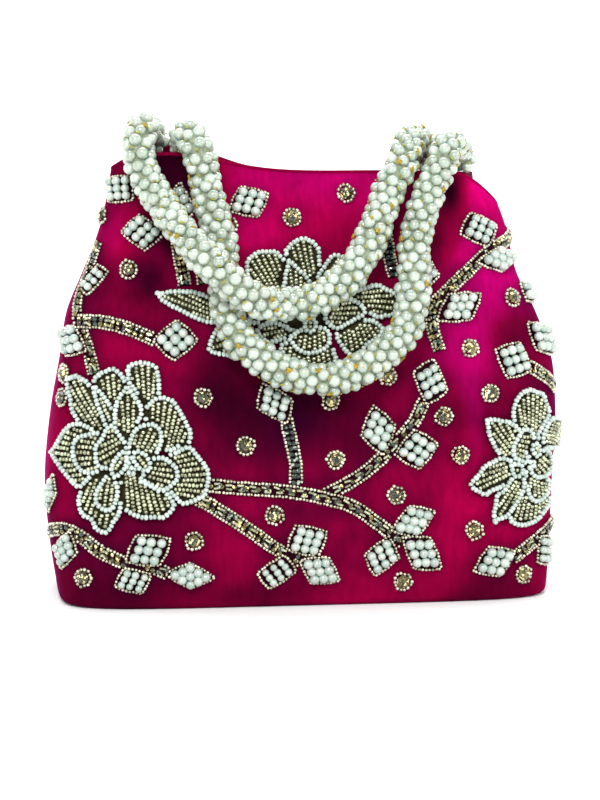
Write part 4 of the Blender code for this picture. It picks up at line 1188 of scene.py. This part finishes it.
def make_flower(name, parts):
    """A flower's ground, white edges and gold rows."""
    outlines = [closed_curve(corners, 64) for _, corners in parts["petals"]]
    ring = closed_curve(oval(*parts["bud"]), 48)
    heart = closed_curve(parts["heart"], 48)
    heights = [FIRST_LAYER + LAYER * index for index in range(len(outlines))]
    top = heights[-1] + BUD_LAYER
    pads = [drawn_in(outline, 0.0006) for outline in [heart] + outlines + [ring]]
    mesh = pads_mesh(name + "_ground", pads, [0.0003] + heights + [top], 0.0003)
    thicken(piece(name + "_ground", mesh, gap_shade_cloth), 0.0004)
    white, gold = [], []
    for index, (outline, (angle, _)) in enumerate(zip(outlines, parts["petals"])):
        covers = outlines[index + 1:] + [ring]
        white.append(white_edge(outline, WHITE_WIDE / 2, covers, 0.0005, heights[index] + WHITE_WIDE * 0.45))
        fill, heading = gold_rows(outline, angle)
        kept = free_of(covers, fill, 0.0004)
        gold.append(at_lift(fill[kept], heading[kept], heights[index] + GOLD_WIDE * 0.55))
    white.append(white_edge(heart, 0.0012, outlines + [ring], 0.0002, 0.0014))
    white.append(white_edge(ring, WHITE_WIDE / 2, [], 0.0, top + WHITE_WIDE * 0.45))
    if parts["loose"]:
        spots = np.array(parts["loose"]) * UNIT
        turned = chance.uniform(0, math.pi, len(spots))
        white.append(at_lift(spots, np.stack([np.cos(turned), np.sin(turned)], axis=1), top + 0.0008))
    core, heading = gold_rows(ring, 90 + parts["bud"][3], 8.0)
    gold.append(at_lift(core, heading, top + 0.0013))
    add_beads(name + "_edges", white, BARREL, (WHITE_LONG, WHITE_WIDE, WHITE_WIDE), white_seed,
              FLOWER_STRAY, [name])
    add_beads(name + "_rows", gold, ROUND_SEED, (GOLD_LONG * 0.94, GOLD_WIDE, GOLD_WIDE), gold_bead,
              FLOWER_STRAY)


for name, parts in FLOWERS.items():
    make_flower(name, parts)

# %% [markdown]
# ## Vines and leaves
#
# A vine is two rows of pale gilt seeds with stones between them on a strip of near-black ground,
# which is painted shade for the gaps between the beads; the same painted shade lies under the
# leaves' pearls. Most stems have smoky and dark crystals two abreast with short bugles among
# them. The long arms of the middle spray are more open: single crystals, and pairs of bugles
# between them. Two short stems are packed with dark stones only.
#
# A leaf is a lozenge with a gilt edge. Its pearls, nine in most leaves, lie in rows along its
# sides, a little apart from the edge, and are as large as the leaf allows.

# %% Stems and leaves on the pattern: a leaf is its centre and two half diagonals
SPRAYS = {
    "spray_middle": {
        "stems": (
            ((-25.5, 28.6), (-22.0, 28.3), (-15.0, 27.6), (-6.0, 26.8), (2.0, 25.2), (9.0, 23.0),
             (14.0, 19.5), (20.5, 14.5)),
            ((2.5, 26.0), (9.5, 29.5), (15.5, 34.0), (20.5, 39.0), (23.5, 42.5), (26.0, 47.5)),
            ((-4.5, 27.0), (-4.5, 34.0), (-5.5, 39.0), (-6.5, 43.5)),
        ),
        "leaves": (
            ((-9.0, 47.0), (2.5, -4.5), (4.0, 1.0)),
            ((15.0, 40.5), (1.0, -5.5), (-4.0, -1.0)),
            ((24.0, 36.0), (5.0, 1.0), (0.5, -4.5)),
            ((27.5, 51.5), (-1.0, -5.0), (-4.0, 2.0)),
            ((23.0, 19.5), (5.0, 2.0), (1.0, -3.5)),
            ((25.0, 12.0), (4.5, -3.5), (-2.0, -3.5)),
            ((15.5, 11.5), (-1.5, -4.5), (-4.0, 0.5)),
        ),
    },
    "spray_low": {
        "stems": (((-28.0, 26.0), (-25.0, 24.5), (-21.0, 22.0), (-15.0, 18.0), (-9.5, 14.0), (-2.5, 10.5)),),
        "leaves": (
            ((-2.0, 15.5), (2.5, -3.5), (-4.5, -2.0)),
            ((1.0, 8.5), (4.5, -2.5), (-2.0, -3.0)),
            ((-9.0, 8.4), (-1.5, -3.9), (-4.4, 0.0)),
        ),
    },
    "spray_corner": {
        "stems": (((-68.0, 16.5), (-61.5, 18.0), (-57.5, 18.2), (-53.5, 16.6), (-50.0, 14.0), (-47.0, 12.5),
                   (-43.5, 11.0), (-38.0, 10.2), (-34.0, 8.6)),),
        "leaves": (
            ((-38.5, 14.0), (2.5, -3.5), (-5.0, -2.5)),
            ((-42.0, 7.0), (2.0, -3.0), (-4.0, -1.5)),
            ((-29.0, 8.0), (5.5, -0.5), (0.0, -3.0)),
            ((-58.5, 13.5), (-1.5, -4.5), (-3.5, 0.5)),
        ),
    },
    "spray_left": {
        "stems": (
            ((-55.0, 65.5), (-49.0, 65.5), (-42.0, 64.0), (-36.0, 61.5)),
            ((-55.0, 66.0), (-53.0, 62.0), (-51.0, 55.5), (-50.5, 53.5)),
            ((-55.0, 65.0), (-55.5, 70.5), (-52.5, 78.0), (-50.5, 84.0)),
        ),
        "leaves": (
            ((-31.5, 61.5), (-0.5, -4.5), (-5.0, 0.0)),
            ((-51.0, 75.0), (-1.0, -3.5), (-4.0, -1.5)),
            ((-57.5, 61.0), (5.0, -2.0), (-1.5, -3.5)),
        ),
    },
    "spray_right": {
        "stems": (((56.0, 86.0), (50.5, 84.0), (44.5, 81.5), (38.5, 77.0), (33.0, 72.5), (29.0, 68.5),
                   (28.5, 65.0), (30.0, 58.5)),),
        "leaves": (
            ((42.0, 86.5), (2.0, -4.0), (-5.0, -1.0)),
            ((47.5, 79.5), (6.5, 0.5), (0.0, -3.0)),
            ((35.5, 68.5), (2.5, -3.0), (-5.5, -3.0)),
        ),
    },
    "spray_right_low": {
        "stems": (((52.5, 54.5), (57.5, 52.0), (62.5, 49.0)),),
        "leaves": (((48.5, 56.0), (4.5, -2.5), (-2.0, -4.0)),),
    },
    "spray_right_corner": {
        "stems": (((62.5, 17.5), (57.0, 15.5), (53.0, 13.5), (47.0, 10.0)),),
        "leaves": (((42.5, 9.5), (1.5, -3.5), (-5.0, -2.0)), ((57.0, 11.0), (2.0, -3.5), (-3.0, -2.5))),
    },
    "spray_top_left": {
        "stems": (((-30.4, 84.0), (-29.9, 80.0), (-29.4, 77.0), (-29.0, 73.8)),
                  ((-26.8, 80.5), (-25.2, 78.0), (-24.5, 74.2))),
        "leaves": (),
    },
    "spray_top_right": {
        "stems": (((18.5, 86.0), (19.0, 81.5), (19.5, 78.0), (20.0, 75.5)),),
        "leaves": (((17.5, 86.5), (2.5, -2.5), (-2.0, -3.5)),),
    },
}
LOOSE_LEAVES = {
    "leaf_left_rim": ((-44.0, 96.0), (3.5, -2.5), (-3.0, -3.0)),
    "leaf_under_rope": ((-28.5, 93.5), (2.5, -2.0), (0.5, -4.0)),
    "leaf_top": ((-13.5, 93.0), (2.0, -3.5), (-4.5, -2.0)),
    "leaf_upper_left": ((-38.5, 86.0), (5.0, 0.0), (0.5, -4.0)),
    "leaf_beside_rope": ((27.5, 77.5), (3.5, -1.5), (0.0, -4.0)),
    "leaf_right_edge": ((59.5, 60.5), (5.5, -4.0), (-4.0, -2.5)),
    "leaf_right_side": ((58.0, 71.5), (3.5, -2.5), (-3.0, -2.0)),
    "leaf_left_side": ((-64.0, 26.0), (-1.5, -4.5), (-3.0, 0.0)),
}
SPRAYS.update({name: {"stems": (), "leaves": (row,)} for name, row in LOOSE_LEAVES.items()})
STEM_KINDS = {("spray_middle", 0): "open", ("spray_middle", 1): "open",
              ("spray_middle", 2): "packed", ("spray_top_right", 0): "packed"}
STEM_HALF = 0.0029
GILT_WIDE, GILT_LONG = 0.00128, 0.00138
LEAF_GROWN, SIDE_SWELL = 1.10, 1.13
LEAF_PEARL = 0.0040
STONE = 0.0021
DARK_STONE = (0.0021, 0.0021, 0.0018)
BUGLE = (0.0025, 0.00105, 0.00105)
PACKED_PITCH, PAIR_PITCH, OPEN_PITCH, BUGLE_PITCH = 0.0022, 0.0024, 0.0048, 0.0078
DARK_SHARE = 0.22

# %% Leaves
# Painted shade: the near-black ground stands for the shadows between the stones, seeds and pearls.
spray_shade_ground = thread_finish("spray_shade_ground", (0.022, 0.0020, 0.007), 1200, shine=0.02)


def leaf_outline(row):
    """The lozenge's corners and the middles of its sides, which swell a little."""
    centre, long_half, short_half = (np.array(part) for part in row)
    corners = [half * LEAF_GROWN for half in (long_half, short_half, -long_half, -short_half)]
    points = []
    for corner, after in zip(corners, corners[1:] + corners[:1]):
        points.append(centre + corner)
        points.append(centre + (corner + after) / 2 * SIDE_SWELL)
    return np.array(points) * UNIT


def leaf_pearls(row):
    """Pearls in rows along the leaf's sides, as large as the leaf allows."""
    centre, long_half, short_half = (np.array(part) * UNIT for part in row)
    closest = LEAF_PEARL * 0.93
    counts, steps = [], []
    for side in (long_half + short_half, long_half - short_half):
        length = np.linalg.norm(side)
        room = length * 1.14 - 1.6 * GILT_WIDE
        count = max(int(round(room / (LEAF_PEARL * 0.70))), 1)
        counts.append(min(count, max(int(room / closest), 3)))
        steps.append(side / length * min(room / counts[-1], closest))
    places = [centre + steps[0] * (i - (counts[0] - 1) / 2) + steps[1] * (j - (counts[1] - 1) / 2)
              for i in range(counts[0]) for j in range(counts[1])]
    size = min([np.linalg.norm(step) * 1.22 for step in steps] + [LEAF_PEARL])
    return np.array(places), size


# %% Stems
def stem_band(line):
    """A stem's outline on the pattern and the direction across it."""
    step = np.gradient(line, axis=0)
    side = unit(np.stack([-step[:, 1], step[:, 0]], axis=1))
    return np.concatenate([line + side * STEM_HALF, (line - side * STEM_HALF)[::-1]]), side


def stem_row(line, side, offset, pitch, covers, margin, lift, slip=0.0, slant=0.0):
    """Places of beads on a line beside the stem's middle, clear of what covers it."""
    row, heading = along_line(line + side * offset, pitch, False)
    row = row + heading * slip
    heading = heading + np.stack([-heading[:, 1], heading[:, 0]], axis=1) * slant
    kept = free_of(covers, row, margin)
    return at_lift(row[kept], heading[kept], lift)


def stem_ground(bm, line, side):
    """A strip of near-black ground under a stem's beads, as painted shade between them."""
    count = len(line) - 1
    strip = bmesh.ops.create_grid(bm, x_segments=count, y_segments=1, size=0.5)["verts"]
    share = np.array([vert.co[:2] for vert in strip]) + 0.5
    step = np.round(share[:, 0] * count).astype(int)
    places = line[step] + side[step] * ((share[:, 1:] * 2 - 1) * (STEM_HALF - 0.0005))
    centre, _, _ = sewn(places, np.ones((len(places), 2)), np.full(len(places), 0.00025))
    for vert, point in zip(strip, centre):
        vert.co = point


def stem_beads(line, side, kind, covers, rows):
    """Sews one stem: gilt seeds along both edges and the stones of its kind between them."""
    def sew(row, offset, pitch, margin, lift, slip=0.0, slant=0.0):
        """Adds one row of beads beside the stem's middle."""
        rows[row].append(stem_row(line, side, offset, pitch, covers, margin, lift, slip, slant))

    for sign in (1, -1):
        sew("gilt", sign * (STEM_HALF - GILT_WIDE / 2), GILT_LONG, 0.0003, GILT_WIDE * 0.55)
    if kind == "open":
        sew("stones", 0.0, OPEN_PITCH, 0.0006, 0.0009)
    for sign in (1, -1):
        if kind == "packed":
            sew("dark_stones", sign * 0.00085, PACKED_PITCH, 0.0006, 0.0009)
        elif kind == "open":
            sew("bugles", sign * 0.00085, OPEN_PITCH, 0.0008, 0.0009, 0.0024)
            sew("dark_stones", sign * 0.0005, 2 * OPEN_PITCH, 0.0008, 0.0006, 0.0012)
        else:
            pair = stem_row(line, side, sign * 0.00088, PAIR_PITCH, covers, 0.0006, 0.0009)
            dark = chance.random(len(pair[0])) < DARK_SHARE
            rows["stones"].append(tuple(part[~dark] for part in pair))
            rows["dark_stones"].append(tuple(part[dark] for part in pair))
            sew("bugles", sign * 0.0009, BUGLE_PITCH, 0.0008, 0.0013, 0.0012, 0.25 * sign)


# %% Make a spray of stems and leaves
SPRAY_BEADS = {
    "stones": (CRYSTAL, (STONE, STONE, STONE * 0.8), smoky_stone),
    "dark_stones": (CRYSTAL, DARK_STONE, dark_stone),
    "bugles": (CUT_BEAD, BUGLE, gold_bead),
}


def spray_ground(name, stems, leaves):
    """The near-black ground under a spray's stems and leaves: painted shade between the beads."""
    bm = bmesh.new()
    for outline in leaves:
        pad(bm, drawn_in(outline, 0.0005), 0.0002, 0.0001)
    for knots in stems:
        line = smooth_curve(np.array(knots) * UNIT, 0.0020)
        stem_ground(bm, line, stem_band(line)[1])
    bmesh.ops.recalc_face_normals(bm, faces=bm.faces[:])
    thicken(piece(name, as_mesh(bm, name, smooth=False), spray_shade_ground), 0.0003)


def make_spray(name, parts):
    """A spray's ground, gilt seeds, pearls, stones and bugles, each as one piece."""
    leaves = [leaf_outline(row) for row in parts["leaves"]]
    spray_ground(name + "_ground", parts["stems"], leaves)
    rows = {"gilt": [], "stones": [], "dark_stones": [], "bugles": []}
    covers = list(leaves)
    for number, knots in enumerate(parts["stems"]):
        line = smooth_curve(np.array(knots) * UNIT, 0.0005)
        band, side = stem_band(line)
        stem_beads(line, side, STEM_KINDS.get((name, number), "paired"), covers, rows)
        covers.append(band)
    for index, outline in enumerate(leaves):
        edge, heading = along_line(drawn_in(outline, GILT_WIDE / 2), GILT_LONG, True)
        kept = free_of(leaves[index + 1:], edge, 0.0003)
        rows["gilt"].append(at_lift(edge[kept], heading[kept], GILT_WIDE * 0.55))
    add_beads(name + "_gilt", rows["gilt"], SEED, (GILT_LONG * 0.86, GILT_WIDE, GILT_WIDE), gilt_seed,
              0.00008, [name])
    if parts["leaves"]:
        found = [leaf_pearls(row) for row in parts["leaves"]]
        size = np.concatenate([np.full(len(places), size) for places, size in found])
        places = np.concatenate([places for places, _ in found])
        flat = np.tile((1.0, 0.0), (len(places), 1))
        add_beads(name + "_pearls", [(places, flat, size * 0.42 + 0.0003)], PEARL,
                  size[:, None] * np.ones(3), leaf_pearl, 0.00012)
    for kind, (stamp, size, finish) in SPRAY_BEADS.items():
        if rows[kind]:
            add_beads(name + "_" + kind, rows[kind], stamp, size, finish, 0.0001)


for name, parts in SPRAYS.items():
    make_spray(name, parts)

# %% [markdown]
# ## Studs
#
# A stud is one larger smoky crystal in a ring of gilt seeds. They are scattered over the velvet
# between the vines.

# %% Crystal studs
STUDS = (
    (-3.5, 89.5), (9.5, 95.0), (-42.0, 77.5), (-25.5, 48.5), (-16.0, 37.5), (-60.0, 48.0),
    (-28.0, 16.0), (-53.5, 7.5), (-9.5, 21.5), (5.0, 34.0), (19.0, 25.5), (20.5, 5.5), (4.0, 47.5),
    (17.5, 53.0), (37.5, 59.0), (42.0, 48.5), (30.5, 43.5), (34.5, 34.5), (37.5, 17.0), (50.0, 6.0),
    (50.0, 70.5), (-60.0, 53.5), (-50.0, 90.0), (-18.5, 87.5),
)
STUD_RING, STUD_SEEDS = 0.0033, 14
STUD_STONE = (0.0054, 0.0054, 0.0036)

stud_nodes = [f"stud_{number:02d}" for number in range(1, len(STUDS) + 1)]
stud_places = np.array(STUDS) * UNIT
ring_turn = 2 * math.pi * np.arange(STUD_SEEDS) / STUD_SEEDS
ring_step = np.stack([np.cos(ring_turn), np.sin(ring_turn)], axis=1)
ring_reach = STUD_RING * (1 + chance.normal(0, 0.05, (len(STUDS), STUD_SEEDS, 1)))
ring_places = (stud_places[:, None] + ring_step[None] * ring_reach).reshape(-1, 2)
ring_headings = np.tile(np.stack([-ring_step[:, 1], ring_step[:, 0]], axis=1), (len(STUDS), 1))
stud_headings = np.tile((1.0, 0.0), (len(STUDS), 1))
add_beads("stud_rings", [at_lift(ring_places, ring_headings, 0.0009)], SEED, (0.00135, 0.0014, 0.0014),
          gilt_seed, 0.00010)
add_beads("stud_stones", [at_lift(stud_places, stud_headings, 0.0010)], CRYSTAL, STUD_STONE,
          smoky_stone, 0.0001, stud_nodes)

# %% [markdown]
# ## Painted shade round the stitches, and patches of pile and light
#
# Stitching presses the velvet's pile down, and the beads shade the velvet beside them. Both are
# painted into its colour: the velvet darkens to near black in a soft band of two or three
# millimetres round everything that is sewn on, as painted shade. All the beads' places are
# counted on a grid of the pattern, the counts are spread outwards a little, and each point of
# the velvet reads its own share.
#
# Broad patches are darker or brighter. Some are where a hand has stroked the pile down or up;
# the others are painted light: painted shadows beside the ropes and under the handles' arch, and
# a painted magenta sheen near the rim and on the right. The velvet is also a little darker along
# the bottom and at the left edge. The patches are listed one by one. Each is a soft oval with its
# place and reach on the pattern and a strength, which is below zero for a dark patch and above
# zero for a bright one.

# %% Painted shade: darken the velvet near the stitches
spots = np.concatenate(sewn_places)
counts = np.zeros((len(RISE), len(ROUND)))
rows = np.clip(((spots[:, 1] - RISE[0]) / CELL).round().astype(int), 0, len(RISE) - 1)
columns = np.clip(((spots[:, 0] - ROUND[0]) / CELL).round().astype(int), 0, len(ROUND) - 1)
np.add.at(counts, (rows, columns), 1)
crush_and_shade_spread = np.minimum(counts, 1)
for _ in range(22):
    crush_and_shade_spread = crush_and_shade_spread * 0.5 + (np.roll(crush_and_shade_spread, 1, 0) + np.roll(crush_and_shade_spread, -1, 0)
                               + np.roll(crush_and_shade_spread, 1, 1) + np.roll(crush_and_shade_spread, -1, 1)) * 0.125
crush_and_shade_spread = np.clip(crush_and_shade_spread * 2.2, 0, 0.90)

count = len(velvet_mesh.vertices)
around = np.zeros(count)
velvet_mesh.attributes["around"].data.foreach_get("value", around)
corner = np.zeros(count * 3)
velvet_mesh.vertices.foreach_get("co", corner)
rise = corner[2::3]
crush_and_shade_amount = look_up(crush_and_shade_spread[..., None], around, rise)[:, 0]
crush_and_shade = velvet_mesh.attributes.new("crush_and_shade", "FLOAT", "POINT")
crush_and_shade.data.foreach_set("value", crush_and_shade_amount)
print("pressed share of the velvet", round(float((crush_and_shade_amount > 0.3).mean()), 2))

# %% Brushed pile and painted light
# Painted light and pile: below zero is painted shade with pile brushed down, above zero painted magenta sheen
# with pile brushed up.
NAP_AND_LIGHT_PATCHES = (
    (-31, 100, 8, 12, -1.5), (-38, 75, 6, 6, -0.7), (-33, 85, 6, 7, -0.6), (-22, 50, 7, 13, -0.5),
    (-3, 45, 18, 10, -0.95), (8, 36, 9, 6, -0.3), (35, 96, 4, 7, -1.3), (30, 84, 6, 5, -0.7),
    (30, 42, 10, 7, -0.35), (48, 62, 6, 5, -0.5), (-16, 3, 12, 3, -0.5), (-46, 4, 14, 5, -0.4),
    (46, 3, 14, 4, -0.2), (-13, 99, 8, 6, 0.35), (6, 99, 14, 6, 0.65), (-8, 104, 26, 2, 0.4),
    (-13, 87, 8, 6, 0.25), (-48, 86, 7, 8, 0.3), (-62, 58, 7, 30, -0.3), (-65, 28, 5, 14, -0.1),
    (43, 98, 6, 7, 0.7), (46, 76, 10, 9, 0.9), (37, 61, 7, 9, 0.85), (38, 45, 3, 10, 0.45),
    (40, 84, 5, 5, 0.3), (64, 40, 6, 20, 0.3), (20, 92, 8, 6, 0.3), (-42, 70, 16, 12, -0.3),
    (10, 7, 60, 10, -0.25), (48, 84, 14, 16, 0.25),
)
nap_and_light_sum = np.zeros(count)
for across, up, wide, high, strength in NAP_AND_LIGHT_PATCHES:
    off = ((around / UNIT - across) / wide) ** 2 + ((rise / UNIT - up) / high) ** 2
    nap_and_light_sum += strength * np.exp(-off)
nap_and_light = velvet_mesh.attributes.new("nap_and_light", "FLOAT", "POINT")
nap_and_light.data.foreach_set("value", np.clip(nap_and_light_sum, -1, 1))
print("brushed patches", len(NAP_AND_LIGHT_PATCHES))
